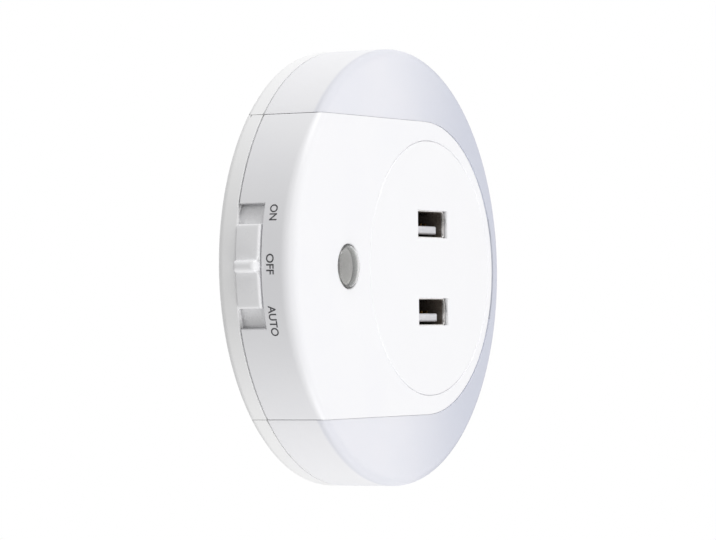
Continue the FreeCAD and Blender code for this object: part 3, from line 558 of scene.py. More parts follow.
# %% [markdown]
# ## The socket plate and the knob
#
# The plate is a separate round moulding, set in the panel with a narrow ring round it. The knob is
# curved like the wall that it slides in, and its bar is rounded so that a finger tip grips it.

# %% Dress the round plate
PLATE_SPREAD = 0.1


def plate_round(middle):
    """Give the round of an edge of the plate, wider round its rim than round the sockets."""
    if not on_face(middle):
        return 0.0
    return RING_ROUND if reach_of(middle, PLATE_CENTRE) > PLATE_RADIUS - NEAR else SMALL_ROUND


skin = welded("usb_face_plate")
for vert in skin.verts:
    place = vert.co / MM
    reach = reach_of(place, PLATE_CENTRE)
    if reach > PLATE_RADIUS - NEAR:
        vert.co.x += (place.x - PLATE_CENTRE) / reach * PLATE_SPREAD * MM
        vert.co.z += place.z / reach * PLATE_SPREAD * MM
dress(softened("socket_plate", skin, plate_abs, plate_round), "root", "plate_white",
      "usb_face_plate")

# %% Rounds of the knob
knob_low, knob_high = corners("switch_knob")
KNOB_ROUND = 0.6
KNOB_REAR_ROUND = 0.15
KNOB_INNER_ROUND = 0.1
KNOB_INSET = 0.2
KNOB_REAR = SEAM_HEIGHT + 0.4
BAR_ROUND = 0.95
BAR_CORNER = 0.5
BAR_START = -DISC_RADIUS - 1
BAR_FOOT = 1.4
BAR_TOP = knob_low.x + 0.3


def knob_round(middle):
    """Give the round of an edge of the knob."""
    if middle.x < BAR_TOP:
        return BAR_ROUND
    if middle.x < BAR_START:
        return BAR_CORNER
    if reach_of(middle) < DISC_RADIUS - KNOB_INSET or abs(middle.z) < BAR_FOOT:
        return KNOB_INNER_ROUND
    return KNOB_REAR_ROUND if -middle.y < KNOB_REAR else KNOB_ROUND


# %% Dress the knob
KNOB_WELD = 0.03 * MM
BAR_HALF = 1.15
BAR_MIDDLE = (knob_low.y + knob_high.y) / 2
BAR_STEEPER = 0.8
BAR_LONGER = 0.5

skin = welded("switch_knob", KNOB_WELD)
for vert in skin.verts:
    if vert.co.x < BAR_TOP * MM:
        vert.co.y += (BAR_STEEPER if vert.co.y > BAR_MIDDLE * MM else -BAR_LONGER) * MM
        vert.co.z = math.copysign(BAR_HALF, vert.co.z) * MM
dress(softened("slide_knob", skin, knob_abs, knob_round), "knob", "knob_white", "switch_knob")

# %% [markdown]
# ## Words beside the switch
#
# The three positions are pad printed in thin grey letters: ON, OFF and AUTO. They read from top to
# bottom, with the tops of the letters towards the face. Blender's text object makes the letters.
# They are turned into a mesh while still flat, then each point is laid on the round wall, so that
# the words bend with it. The ink stands two hundredths of a millimetre proud.

# %% Print the words on the wall
WORD_CAP = 1.75
WORD_BOLD = 0.012
LETTER_STEPS = 6
# Each word, the middle of its place along the arc, its length and the height of its foot, in mm
WORDS = (("ON", 11.1, 3.4, 12.35), ("OFF", 0.35, 4.25, 12.1), ("AUTO", -11.45, 6.4, 11.95))
INK_HALF = 0.015
INK_RADIUS = DISC_RADIUS + 0.005

# Pad printing lays a thin, even film, so the ink looks matt and a little worn
ink = two_tone("pad_printed_grey_ink", 0.5, "#3A3A3D", "#48484B", 0.8, 0.45, 0.6, IOR=1.5)


def flat_word(word, length):
    """Make one word as a flat mesh, scaled to its cap height and its length in mm."""
    curve = bpy.data.curves.new("word_" + word, "FONT")
    curve.body = word
    curve.extrude = INK_HALF
    curve.offset = WORD_BOLD
    curve.resolution_u = LETTER_STEPS
    holder = bpy.data.objects.new("word_" + word, curve)
    bpy.context.scene.collection.objects.link(holder)
    bpy.context.view_layer.update()
    mesh = bpy.data.meshes.new_from_object(
        holder.evaluated_get(bpy.context.evaluated_depsgraph_get()))
    bpy.data.objects.remove(holder)
    skin = bmesh.new()
    skin.from_mesh(mesh)
    left, right = (pick(vert.co.x for vert in skin.verts) for pick in (min, max))
    top = max(vert.co.y for vert in skin.verts)
    for vert in skin.verts:
        along = ((vert.co.x - left) / (right - left) - 0.5) * length
        vert.co = (along, vert.co.y / top * WORD_CAP, vert.co.z)
    return skin


def wrapped(skin, middle, base):
    """Lay a flat word on the round wall, at a distance along the arc and a height."""
    for vert in skin.verts:
        along, rise, proud = vert.co
        angle = (middle - along) / DISC_RADIUS
        reach = INK_RADIUS + proud
        vert.co = Vector((-reach * math.cos(angle), -(base + rise),
                          reach * math.sin(angle))) * MM
    bmesh.ops.recalc_face_normals(skin, faces=skin.faces)
    return skin


for word, middle, length, base in WORDS:
    piece = new_piece("word_" + word.lower(), wrapped(flat_word(word, length), middle, base), ink)
    dress(piece, "root", "lever_black")

# %% [markdown]
# ## USB sockets
#
# Each socket is a drawn shell of nickel plated steel round a moulded tongue. The rim of the shell
# is bright, but a few millimetres in, a socket is dark: little light gets there. So the finish
# darkens with depth. The tongue is a white moulding with rounded corners, and darkens too.

# %% Make the sockets' finishes
RIM_DEPTH = DISC_DEPTH - 1.0
SOCKET_DARK = DISC_DEPTH - 1.5
TONGUE_LIT, TONGUE_DARK = DISC_DEPTH - 3.4, DISC_DEPTH - 6.5
STEEL_PATCH, STEEL_GLOSS, STEEL_GRAIN = 1.2, 0.6, 0.3
STEEL_BUMP = 0.001


# Painted shade: each finish darkens with depth below the face, where little light gets in
def with_depth(name, rim, inside, rim_height, dark_height, rough, dull=False, **constants):
    """Make a finish that goes from a rim colour to an inside colour with depth below the face."""
    material, tree, shader, place = start_finish(name, **constants)
    across, depth, up, reach = split(tree, place)
    amount = fade(tree, depth, -rim_height, -dark_height)
    patch = patches(tree, place, STEEL_PATCH)
    shades = [blended(tree, patch, *pair) for pair in (rim, inside)]
    mixed = add(tree, "ShaderNodeMix", {"Factor": amount, 6: shades[0], 7: shades[1]},
                data_type="RGBA").outputs[2]
    connect(tree, shader, Base_Color=mixed,
            Roughness=between(tree, noise(tree, place, STEEL_GLOSS), *rough),
            Normal=bump(tree, noise(tree, place, STEEL_GRAIN), STEEL_BUMP))
    if dull:
        shine = add(tree, "ShaderNodeMath", {0: 1.0, 1: amount}, operation="SUBTRACT").outputs[0]
        connect(tree, shader, Metallic=shine)
    return material


socket_steel = with_depth("nickel_plated_steel_shell", ("#F4F2F0", "#E9E6E3"),
                          ("#5E564F", "#544C46"), RIM_DEPTH, SOCKET_DARK, (0.22, 0.34),
                          dull=True)
tongue_white = with_depth("moulded_white_tongue", ("#F4F4F8", "#EEEEF3"),
                          ("#4A443D", "#413C36"), TONGUE_LIT, TONGUE_DARK, (0.35, 0.45),
                          IOR=ABS_IOR)
print("socket finishes:", socket_steel.name, tongue_white.name)

# %% Dress the shells and the tongues
LIP_DEPTH = DISC_DEPTH - 1.5
LIP_ROUND = 0.1
LIP_FLARE = 0.2
LIP_LONGER = 0.5
TONGUE_ROUND = 0.45
TONGUE_FRONT = 0.8 * DISC_DEPTH
TONGUE_TIP = 0.85 * DISC_DEPTH
TONGUE_LONGER = 0.3


def tongue_round(middle):
    """Give the round of an edge of the tongue."""
    return TONGUE_ROUND if -middle.y > TONGUE_TIP else 0.0


def flared(node):
    """Copy a shell and widen its front rim, as the lips of a drawn shell are."""
    skin = welded(node)
    low, high = corners(node)
    middle = (low + high) / 2
    for vert in skin.verts:
        place = vert.co / MM
        if -place.y > LIP_DEPTH:
            vert.co.y -= LIP_LONGER * MM
            vert.co.x += math.copysign(LIP_FLARE, place.x - middle.x) * MM
            vert.co.z += math.copysign(LIP_FLARE, place.z - middle.z) * MM
    return skin


def longer(node):
    """Copy a tongue and bring its front end forward."""
    skin = welded(node)
    for vert in skin.verts:
        if -vert.co.y > TONGUE_FRONT * MM:
            vert.co.y -= TONGUE_LONGER * MM
    return skin


for side in ("upper", "lower"):
    dress(softened("socket_shell_" + side, flared("usb_shell_" + side), socket_steel,
                   lambda middle: LIP_ROUND if -middle.y > LIP_DEPTH else 0.0), "root",
          "socket_steel", "usb_shell_" + side)
    dress(softened("socket_tongue_" + side, longer("usb_tongue_" + side), tongue_white,
                   tongue_round, segments=4), "root", "tongue_white", "usb_tongue_" + side)

# %% [markdown]
# ## Spring contacts
#
# Four gold plated strips lie on each tongue. A strip isn't flat: it rises in a low hump where the
# plug's own contact rides, and its end dips into the tongue. The shape of one strip is a line of
# points. Geometry Nodes round its corners, sweep a small rectangle along it and repeat the strip
# at the pitch of the socket, which is the usual way to make anything that is bent from strip.

# %% Helpers for Geometry Nodes
def start_tree(name, *sizes):
    """Start a geometry tree with one number input for each named size."""
    tree = bpy.data.node_groups.new(name, "GeometryNodeTree")
    tree.is_modifier = True
    tree.interface.new_socket("Geometry", in_out="INPUT", socket_type="NodeSocketGeometry")
    for size in sizes:
        tree.interface.new_socket(size, in_out="INPUT", socket_type="NodeSocketFloat")
    tree.interface.new_socket("Geometry", in_out="OUTPUT", socket_type="NodeSocketGeometry")
    return tree, add(tree, "NodeGroupInput").outputs


def end_tree(tree, geometry, material, window=None):
    """Realize the instances, set the materials and close the tree."""
    whole = add(tree, "GeometryNodeRealizeInstances", {"Geometry": geometry}).outputs[0]
    whole = add(tree, "GeometryNodeSetMaterial", {"Geometry": whole,
                                                  "Material": material}).outputs[0]
    if window:
        marked = add(tree, "GeometryNodeInputNamedAttribute", {"Name": "window"},
                     data_type="BOOLEAN").outputs[0]
        whole = add(tree, "GeometryNodeSetMaterial", {"Geometry": whole, "Selection": marked,
                                                      "Material": window}).outputs[0]
    add(tree, "NodeGroupOutput", {0: whole})
    print("tree:", tree.name, "with", len(tree.nodes), "nodes")


def gathered(tree, kind, socket, parts, **options):
    """Add a node that takes several geometries in one input."""
    node = add(tree, kind, **options)
    for part in parts:
        tree.links.new(part, node.inputs[socket])
    return node.outputs[0]


def shifted(tree, geometry, axis, distance, turn=(0, 0, 0)):
    """Turn a geometry, then move it along an axis."""
    offset = add(tree, "ShaderNodeCombineXYZ", {axis: distance}).outputs[0]
    return add(tree, "GeometryNodeTransform", {"Geometry": geometry, "Translation": offset,
                                               "Rotation": turn}).outputs[0]


# %% Grow a piece from a tree, and find the solids of a CAD piece
def grown(name, points, edges, tree, sizes_mm):
    """Run a geometry tree on points in mm, with its sizes in mm, and keep the plain mesh."""
    mesh = bpy.data.meshes.new(name)
    mesh.from_pydata([Vector(point) * MM for point in points], edges, [])
    piece = bpy.data.objects.new(name, mesh)
    bpy.context.scene.collection.objects.link(piece)
    modifier = piece.modifiers.new(name, "NODES")
    modifier.node_group = tree
    for socket in tree.interface.items_tree:
        if socket.in_out == "INPUT" and socket.name in sizes_mm:
            modifier[socket.identifier] = sizes_mm[socket.name] * MM
    return settle(piece)


def islands(node):
    """Give the lowest and highest corner, in mm, of each separate solid of a CAD piece."""
    skin = welded(node)
    boxes, seen = [], set()
    for start in skin.verts:
        if start in seen:
            continue
        seen.add(start)
        queue, reached = [start], []
        while queue:
            vert = queue.pop()
            reached.append(vert.co / MM)
            fresh = [edge.other_vert(vert) for edge in vert.link_edges]
            fresh = [other for other in fresh if other not in seen]
            seen.update(fresh)
            queue.extend(fresh)
        low, high = ([pick(place[axis] for place in reached) for axis in range(3)]
                     for pick in (min, max))
        boxes.append((Vector(low), Vector(high)))
    skin.free()
    return sorted(boxes, key=lambda box: tuple(box[0]))


# %% Build the tree for a row of bent strips
STRIP_COUNT = 4
BEND_STEPS = 5
CONTACT_LIT, CONTACT_DARK = DISC_DEPTH - 2.4, DISC_DEPTH - 4.5

# Painted shade: the gold darkens with depth into the socket, where little light gets in
gold = with_depth("gold_plated_phosphor_bronze", ("#C99A4B", "#B5843A"),
                  ("#5A4526", "#4C3A20"), CONTACT_LIT, CONTACT_DARK, (0.22, 0.36),
                  Metallic=1.0)

tree, given = start_tree("row of bent strips", "Width", "Thickness", "Bend", "Pitch")
bent = add(tree, "GeometryNodeMeshToCurve", {"Mesh": given["Geometry"]}).outputs[0]
rounded = add(tree, "GeometryNodeFilletCurve", {
    "Curve": bent, "Radius": given["Bend"], "Count": BEND_STEPS}, mode="POLY").outputs[0]
section = add(tree, "GeometryNodeCurvePrimitiveQuadrilateral", {
    "Width": given["Thickness"], "Height": given["Width"]}).outputs[0]
strip = add(tree, "GeometryNodeCurveToMesh", {
    "Curve": rounded, "Profile Curve": section, "Fill Caps": True}).outputs[0]
step = add(tree, "ShaderNodeCombineXYZ", {"X": given["Pitch"]}).outputs[0]
row = add(tree, "GeometryNodeMeshLine", {"Count": STRIP_COUNT, "Offset": step}).outputs[0]
strips = add(tree, "GeometryNodeInstanceOnPoints", {"Points": row, "Instance": strip})
end_tree(tree, strips.outputs[0], gold)

# %% Bend the contacts of both sockets
STRIP_HUMP = 0.15
STRIP_DIP = 0.05
STRIP_BEND = 1.2
HUMP_FOOT, HUMP_START, HUMP_END = -10.0, -12.2, -13.2

for side in ("upper", "lower"):
    boxes = islands("usb_contacts_" + side)
    low, high = boxes[0]
    middle = (low.x + high.x) / 2
    thickness = high.z - low.z
    width = high.x - low.x
    pitch = boxes[1][0].x - low.x
    level = (low.z + high.z) / 2
    raised = level + STRIP_HUMP
    line = [(middle, high.y, level), (middle, HUMP_FOOT, level), (middle, HUMP_START, raised),
            (middle, HUMP_END, raised), (middle, low.y, level - STRIP_DIP)]
    piece = grown("contacts_" + side, line, [(index, index + 1) for index in range(len(line) - 1)],
                  tree, {"Width": width, "Thickness": thickness, "Bend": STRIP_BEND,
                         "Pitch": pitch})
    dress(piece, "root", "contact_gold", "usb_contacts_" + side)

# %% [markdown]
# ## Lamps
#
# Five lamps sit on each narrow board behind the frosted shell. A surface mounted lamp is a white
# moulded frame round a window of yellow phosphor. One lamp is made from two primitives, and
# Geometry Nodes put a copy on each point. The window's faces carry a mark, so that the last node
# can give them their own material.

# %% Build the tree for the lamps
WINDOW_SIDES = 32
WINDOW_CUT = -0.75
TO_ROOM = (math.pi / 2, 0, 0)

# The frame is a dull heat proof moulding, and the gel over the chip is soft and glossy
lamp_frame = two_tone("moulded_white_lamp_frame", 0.8, "#F1F0EA", "#E9E8E0", 0.8, 0.4, 0.5,
                      IOR=ABS_IOR)
phosphor = two_tone("yellow_phosphor_gel", 0.3, "#E8C64A", "#DDB338", 0.5, 0.25, 0.35, IOR=1.45,
                    Subsurface_Weight=0.2, Subsurface_Scale=0.5 * MM)

tree, given = start_tree("surface mounted lamps", "Width", "Height", "Thickness", "Window",
                         "Recess")


def window_disc(depth, place):
    """Make a disc of the window's radius, with its middle at a place along Y."""
    disc = add(tree, "GeometryNodeMeshCylinder", {
        "Vertices": WINDOW_SIDES, "Radius": given["Window"], "Depth": depth}).outputs[0]
    return shifted(tree, disc, "Y", place, TO_ROOM)


size = add(tree, "ShaderNodeCombineXYZ", {"X": given["Width"], "Y": given["Thickness"],
                                          "Z": given["Height"]}).outputs[0]
frame_box = add(tree, "GeometryNodeMeshCube", {"Size": size}).outputs[0]
cutter = window_disc(given["Thickness"], times(tree, given["Thickness"], WINDOW_CUT))
hollow = add(tree, "GeometryNodeMeshBoolean", {0: frame_box, 1: cutter},
             operation="DIFFERENCE").outputs[0]
gel = window_disc(times(tree, given["Recess"], 2.0), times(tree, given["Recess"], -1.0))
gel = add(tree, "GeometryNodeStoreNamedAttribute", {
    "Geometry": gel, "Name": "window", "Value": True}, data_type="BOOLEAN",
    domain="FACE").outputs[0]
whole = gathered(tree, "GeometryNodeJoinGeometry", 0, (hollow, gel))
lamps = add(tree, "GeometryNodeInstanceOnPoints", {"Points": given["Geometry"],
                                                   "Instance": whole})
end_tree(tree, lamps.outputs[0], lamp_frame, phosphor)

# %% Set the lamps on their boards
LAMP_WINDOW = 1.05
LAMP_RECESS = 0.12

for side in ("upper", "lower"):
    boxes = islands("leds_" + side)
    size = boxes[0][1] - boxes[0][0]
    piece = grown("lamps_" + side, [(low + high) / 2 for low, high in boxes], [], tree,
                  {"Width": size.x, "Height": size.z, "Thickness": size.y,
                   "Window": LAMP_WINDOW, "Recess": LAMP_RECESS})
    dress(piece, "root", "lamp_white", "leds_" + side)

# %% [markdown]
# ## Case screws
#
# Four self tapping screws hold the case together from behind. Each has a low head with a cross
# recess, a shank and a thread. The thread is a spiral that carries a small triangle. The places
# come from the CAD screws, and one tree makes all four.

# %% Build the head of a screw
HEAD_SIDES = 40
CAP_TOP = 0.72
CAP_SHARE = 0.45
RIM_SHARE = 0.55
RIM_MIDDLE = 0.725

# Zinc plating has a fine crystal pattern and a soft blue grey shine
zinc = two_tone("zinc_plated_steel", 0.9, "#B9BCC0", "#A4A8AD", 0.5, 0.25, 0.4, Metallic=1.0)

tree, given = start_tree("self tapping screws", "Head Radius", "Head Height", "Shank Radius",
                         "Length", "Recess Length", "Recess Width")


def share_of(name, factor):
    """Give a share of one of the screw's sizes."""
    return times(tree, given[name], factor)


cap = add(tree, "GeometryNodeMeshCone", {
    "Vertices": HEAD_SIDES, "Radius Top": share_of("Head Radius", CAP_TOP),
    "Radius Bottom": given["Head Radius"], "Depth": share_of("Head Height", CAP_SHARE)}).outputs[0]
cap = shifted(tree, cap, "Z", share_of("Head Height", -CAP_SHARE))
rim = add(tree, "GeometryNodeMeshCylinder", {
    "Vertices": HEAD_SIDES, "Radius": given["Head Radius"],
    "Depth": share_of("Head Height", RIM_SHARE)}).outputs[0]
rim = shifted(tree, rim, "Z", share_of("Head Height", -RIM_MIDDLE))
slots = []
for long, short in (("Recess Length", "Recess Width"), ("Recess Width", "Recess Length")):
    size = add(tree, "ShaderNodeCombineXYZ", {"X": given[long], "Y": given[short],
                                              "Z": given["Head Height"]}).outputs[0]
    slots.append(add(tree, "GeometryNodeMeshCube", {"Size": size}).outputs[0])
cross = gathered(tree, "GeometryNodeMeshBoolean", 1, slots, operation="UNION")
head = gathered(tree, "GeometryNodeMeshBoolean", 1, (cap, rim), operation="UNION")
head = add(tree, "GeometryNodeMeshBoolean", {0: head, 1: cross},
           operation="DIFFERENCE").outputs[0]

# %% Build the shank and the thread
SHANK_SIDES = 24
SHANK_TOP, SHANK_TIP = 0.78, 0.45
THREAD_TIP = 0.5
THREAD_SHARE = 0.95
THREAD_TURNS = 8.0
RIDGE_SHARE = 0.22

shank = add(tree, "GeometryNodeMeshCone", {
    "Vertices": SHANK_SIDES, "Radius Top": share_of("Shank Radius", SHANK_TOP),
    "Radius Bottom": share_of("Shank Radius", SHANK_TIP),
    "Depth": given["Length"]}).outputs[0]
thread = add(tree, "GeometryNodeCurveSpiral", {
    "Resolution": SHANK_SIDES, "Rotations": THREAD_TURNS,
    "Start Radius": share_of("Shank Radius", THREAD_TIP),
    "End Radius": share_of("Shank Radius", SHANK_TOP),
    "Height": share_of("Length", THREAD_SHARE)}).outputs[0]
ridge = add(tree, "GeometryNodeCurvePrimitiveCircle", {
    "Resolution": 3, "Radius": share_of("Shank Radius", RIDGE_SHARE)}).outputs[0]
thread = add(tree, "GeometryNodeCurveToMesh", {
    "Curve": thread, "Profile Curve": ridge, "Fill Caps": True}).outputs[0]

# %% Put the screw together
def below_head(factor):
    """Give the height at a share of the length below the head."""
    return add(tree, "ShaderNodeMath", {
        0: share_of("Length", -factor), 1: given["Head Height"]},
        operation="SUBTRACT").outputs[0]


body = gathered(tree, "GeometryNodeJoinGeometry", 0, (
    head, shifted(tree, thread, "Z", below_head(1.0)),
    shifted(tree, shank, "Z", below_head(0.5))))
screws = add(tree, "GeometryNodeInstanceOnPoints", {
    "Points": given["Geometry"], "Instance": body, "Rotation": (-math.pi / 2, 0, 0)})
end_tree(tree, screws.outputs[0], zinc)

# %% Drive the screws
HEAD_HEIGHT = 1.3
SHANK_RADIUS = 1.1
RECESS_LENGTH, RECESS_WIDTH = 2.2, 0.6

boxes = islands("case_screws")
size = boxes[0][1] - boxes[0][0]
piece = grown("back_screws", [((low.x + high.x) / 2, high.y, (low.z + high.z) / 2)
                              for low, high in boxes], [], tree,
              {"Head Radius": size.x / 2, "Head Height": HEAD_HEIGHT,
               "Shank Radius": SHANK_RADIUS, "Length": size.y - HEAD_HEIGHT,
               "Recess Length": RECESS_LENGTH, "Recess Width": RECESS_WIDTH})
dress(piece, "root", "screw_steel", "case_screws")

# %% [markdown]
# ## Plug blades
#
# The blades are punched from brass strip and drawn smooth along their length, which leaves fine
# lines that run the same way. Their edges are broken by tumbling, so they shine.

# %% Dress the plug blades
LINE_STRETCH = 0.04
LINE_WIDTH = 0.25
LINE_DEPTH = 0.004
TARNISH_PATCH = 5.0
BLADE_ROUND = 0.25

brass, tree, shader, place = start_finish("drawn_brass_strip", Metallic=1.0)
lines = add(tree, "ShaderNodeMapping", {"Vector": place,
                                        "Scale": (1.0, LINE_STRETCH, 1.0)}).outputs[0]
drawn = noise(tree, lines, LINE_WIDTH, detail=3.0)
connect(tree, shader,
        Base_Color=blended(tree, patches(tree, place, TARNISH_PATCH), "#D9BE82", "#CDAE6E"),
        Roughness=between(tree, drawn, 0.2, 0.38), Normal=bump(tree, drawn, LINE_DEPTH))

for side in ("left", "right"):
    dress(softened("blade_" + side, welded("plug_blade_" + side), brass,
                   lambda middle: BLADE_ROUND if middle.y > 0 else 0.0), "root", "blade_brass",
          "plug_blade_" + side)

# %% [markdown]
# ## Sensor window
#
# A clear dome of polished polycarbonate covers a light sensor, which looks like a small clear lamp
# with a domed end. A grey cup stands round the sensor and gathers light for it. Dome and cup are
# turned parts: an outline of radius and height points goes round the sensor's axis in steps.

# %% Turn an outline
TURN_STEPS = 64
TURN_ROUND = 0.08
AXIS = 0.001


def turned(name, profile, across, material):
    """Turn a closed outline of (radius, height) points round an axis that points into the wall."""
    skin = bmesh.new()
    rings = []
    for index in range(TURN_STEPS):
        angle = 2 * math.pi * index / TURN_STEPS
        rings.append([skin.verts.new(Vector((across + radius * math.cos(angle), -height,
                                             radius * math.sin(angle))) * MM)
                      for radius, height in profile])
    count = len(profile)
    for index, ring in enumerate(rings):
        following = rings[(index + 1) % TURN_STEPS]
        for corner in range(count):
            after = (corner + 1) % count
            if max(profile[corner][0], profile[after][0]) > AXIS:
                skin.faces.new((ring[corner], ring[after], following[after], following[corner]))
    bmesh.ops.remove_doubles(skin, verts=skin.verts, dist=WELD)
    bmesh.ops.recalc_face_normals(skin, faces=skin.faces)
    return softened(name, skin, material, lambda middle: TURN_ROUND)


# %% Make the finishes of the sensor
# Polished clear plastic bends what is behind it, and a smoky resin lets only the core show
clear = two_tone("polished_clear_polycarbonate", 4.0, "#ECEDEC", "#E7E8E7", 1.5, 0.02, 0.05,
                 IOR=1.45, Transmission_Weight=0.9)
resin = two_tone("smoky_sensor_resin", 1.5, "#9C9698", "#8B8587", 1.0, 0.10, 0.18, IOR=1.55,
                 Coat_Weight=0.6, Coat_Roughness=0.05)
cup_grey = part_finish("moulded_grey_light_cup", "#EAE7E6", "#E2DFDD", 1.0, 0.4, 0.5,
                       IOR=ABS_IOR)
print("sensor finishes:", clear.name, resin.name, cup_grey.name)

# %% Turn the window and the cup, and dress the sensor
LENS_FLANGE = 1.0
FLANGE_DEPTH = 0.8
LENS_WALL = 0.5
LENS_STEPS = 12
SENSOR_ROUND = 0.05
# The cup's outline: each point's radius and its height above the wall face, in mm
CUP = ((4.05, 17.3), (4.05, 5.4), (3.5, 5.4), (3.5, 14.4), (2.62, 14.4), (2.62, 15.2),
       (3.85, 17.3))

low, high = corners("sensor_lens")
eye = (low.x + high.x) / 2
flange = (high.x - low.x) / 2
dome_edge = flange - LENS_FLANGE
dome_inside = dome_edge - LENS_WALL
proud = -low.y - DISC_DEPTH
ball = (dome_edge ** 2 + proud ** 2) / (2 * proud)


def dome(radius):
    """Give the height of the window's outer skin at a radius."""
    return -low.y - ball + math.sqrt(ball ** 2 - radius ** 2)


steps = [index / LENS_STEPS for index in range(LENS_STEPS + 1)]
foot, shoulder = -high.y, -high.y + FLANGE_DEPTH
outer_line = [(dome_edge * step, dome(dome_edge * step)) for step in steps]
inner_line = [(dome_inside * step, dome(dome_inside * step) - LENS_WALL)
              for step in reversed(steps)]
flange_line = [(dome_edge, shoulder), (flange, shoulder), (flange, foot), (dome_inside, foot)]
dress(turned("sensor_window", outer_line + flange_line + inner_line, eye, clear), "root",
      "clear_lens", "sensor_lens")
dress(turned("sensor_cup", CUP, eye, cup_grey), "root", "plate_white")
dress(softened("sensor_body", welded("light_sensor"), resin, lambda middle: SENSOR_ROUND), "root",
      "sensor_resin", "light_sensor")

# %% [markdown]
# ## Parts on the board
#
# The circuit stays as the CAD made it, and each part gets the finish that it has in a real
# device. One function makes a plain finish from two near colours, a patch size and a range of
# roughness, so the whole list fits in one table.

# %% Finishes of the parts inside
# Tin, solder and copper shine, nylon and ferrite are dull, tape, sleeve and epoxy are glossy
METALS = ("switch_steel", "terminal_tin", "choke_wire")
BOARD = {
    "switch_steel": ("bright_tin_plated_can", "#C4C7CA", "#B3B7BB", 1.5, 0.25, 0.38),
    "lever_black": ("moulded_black_nylon", "#232325", "#2B2B2D", 0.8, 0.45, 0.6),
    "terminal_tin": ("tinned_copper_leads", "#CFD0D0", "#BFC1C2", 0.6, 0.25, 0.4),
    "board_green": ("green_solder_mask", "#1F6B3C", "#1A5E34", 2.0, 0.3, 0.42),
    "wire_white": ("white_pvc_insulation", "#ECEBE6", "#E2E1DB", 0.7, 0.4, 0.5),
    "ferrite": ("sintered_grey_ferrite", "#3B3B3D", "#303032", 0.5, 0.55, 0.7),
    "coil_tape": ("yellow_polyester_tape", "#DDB93C", "#D2AC2F", 1.0, 0.2, 0.32),
    "capacitor_sleeve": ("black_heat_shrink_sleeve", "#25282E", "#1D2025", 1.2, 0.25, 0.38),
    "choke_wire": ("enamelled_copper_wire", "#A2552B", "#8E4722", 0.5, 0.25, 0.4),
    "disc_blue": ("dipped_blue_epoxy", "#2E62B0", "#2757A1", 0.9, 0.2, 0.35),
    "fuse_body": ("moulded_brown_fuse_body", "#5A4436", "#4E3A2D", 1.0, 0.35, 0.5),
    "chip_black": ("moulded_black_epoxy", "#1C1C1E", "#242426", 0.4, 0.5, 0.65),
}
INSIDE = {slot: part_finish(*row, **({"Metallic": 1.0} if slot in METALS else {}))
          for slot, row in BOARD.items()}

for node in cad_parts.values():
    for slot in node.material_slots:
        if slot.material and slot.material.name in INSIDE:
            slot.material = INSIDE[slot.material.name]
print("finishes inside:", len(INSIDE))

# %% [markdown]
# ## Light, background and floor
#
# The photograph has a plain white background and soft light from above and from below, a little
# in front of the object. Two large area lamps stand there, and a dim world fills in the rest. The
# world looks white to the camera and to reflections only. The floor turns white towards its edge,
# as a sheet of studio paper does, so that it has no horizon.

# %% Set up the light
WORLD_STRENGTH = 0.48
LAMP_SIZE = 0.7
LAMP_POWER = 5.9
LAMP_PLACE = (-0.11, -0.52, 0.85)

world = bpy.data.worlds.new("white_studio")
bpy.context.scene.world = world
world.use_nodes = True
tree = world.node_tree
tree.nodes.clear()


def seen_directly(tree):
    """Give 1 where a camera, glossy or transmission ray looks, and 0 for scattered light."""
    path = add(tree, "ShaderNodeLightPath")
    either = add(tree, "ShaderNodeMath", {0: path.outputs["Is Camera Ray"],
                                          1: path.outputs["Is Glossy Ray"]}, operation="MAXIMUM")
    return add(tree, "ShaderNodeMath", {0: either.outputs[0],
                                        1: path.outputs["Is Transmission Ray"]},
               operation="MAXIMUM").outputs[0]


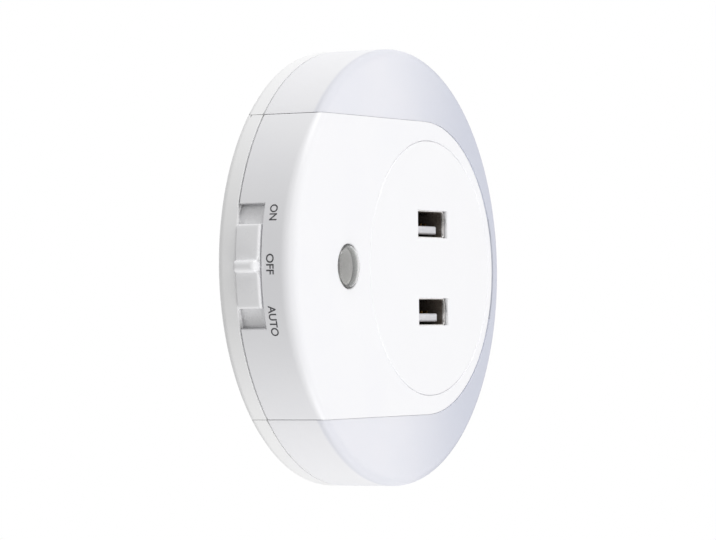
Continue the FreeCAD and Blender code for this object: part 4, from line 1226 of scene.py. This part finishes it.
fill = add(tree, "ShaderNodeBackground", {"Color": linear("#FFFFFF"), "Strength": WORLD_STRENGTH})
white = add(tree, "ShaderNodeBackground", {"Color": linear("#FFFFFF"), "Strength": 1.0})
mixed = add(tree, "ShaderNodeMixShader", {0: seen_directly(tree), 1: fill.outputs[0],
                                          2: white.outputs[0]})
add(tree, "ShaderNodeOutputWorld", {"Surface": mixed.outputs[0]})


def softbox(name, place):
    """Hang a square lamp that looks at the middle of the object."""
    data = bpy.data.lights.new(name, "AREA")
    data.shape = "SQUARE"
    data.size = LAMP_SIZE
    data.energy = LAMP_POWER
    lamp = bpy.data.objects.new(name, data)
    lamp.matrix_world = (Matrix.Translation(place)
                         @ (-place).to_track_quat("-Z", "Y").to_matrix().to_4x4())
    bpy.context.scene.collection.objects.link(lamp)
    print("%s: %.1f W at %.2f m" % (name, data.energy, place.length))


softbox("upper_softbox", Vector(LAMP_PLACE))
softbox("lower_softbox", Vector(LAMP_PLACE) * Vector((1, 1, -1)))

# %% Lay the floor below the object
FLOOR_LEVEL = -0.12
FLOOR_RADIUS = 0.9
FLOOR_SIDES = 96
FLOOR_FADE = 300
FLOOR_PATCH = 60.0

floor_paint, tree, shader, place = start_finish("matt_white_studio_floor", Roughness=0.8)
away = add(tree, "ShaderNodeVectorMath", {0: place}, operation="LENGTH").outputs["Value"]
connect(tree, shader,
        Base_Color=blended(tree, patches(tree, place, FLOOR_PATCH), "#F4F4F4", "#F1F1F1"))
glow = add(tree, "ShaderNodeEmission", {"Color": linear("#FFFFFF"), "Strength": 1.0})
clear_through = add(tree, "ShaderNodeMixShader", {
    0: times(tree, fade(tree, away, FLOOR_FADE, FLOOR_RADIUS / MM), seen_directly(tree)),
    1: shader.outputs[0], 2: glow.outputs[0]})
output = next(node for node in tree.nodes if node.type == "OUTPUT_MATERIAL")
tree.links.new(clear_through.outputs[0], output.inputs["Surface"])

skin = bmesh.new()
bmesh.ops.create_circle(skin, cap_ends=True, segments=FLOOR_SIDES, radius=FLOOR_RADIUS,
                        matrix=Matrix.Translation((0, 0, FLOOR_LEVEL)))
floor = new_piece("studio_floor", skin, floor_paint)
floor.visible_shadow = False
floor.visible_diffuse = False
print("floor: %.0f mm below the middle" % (-FLOOR_LEVEL / MM))
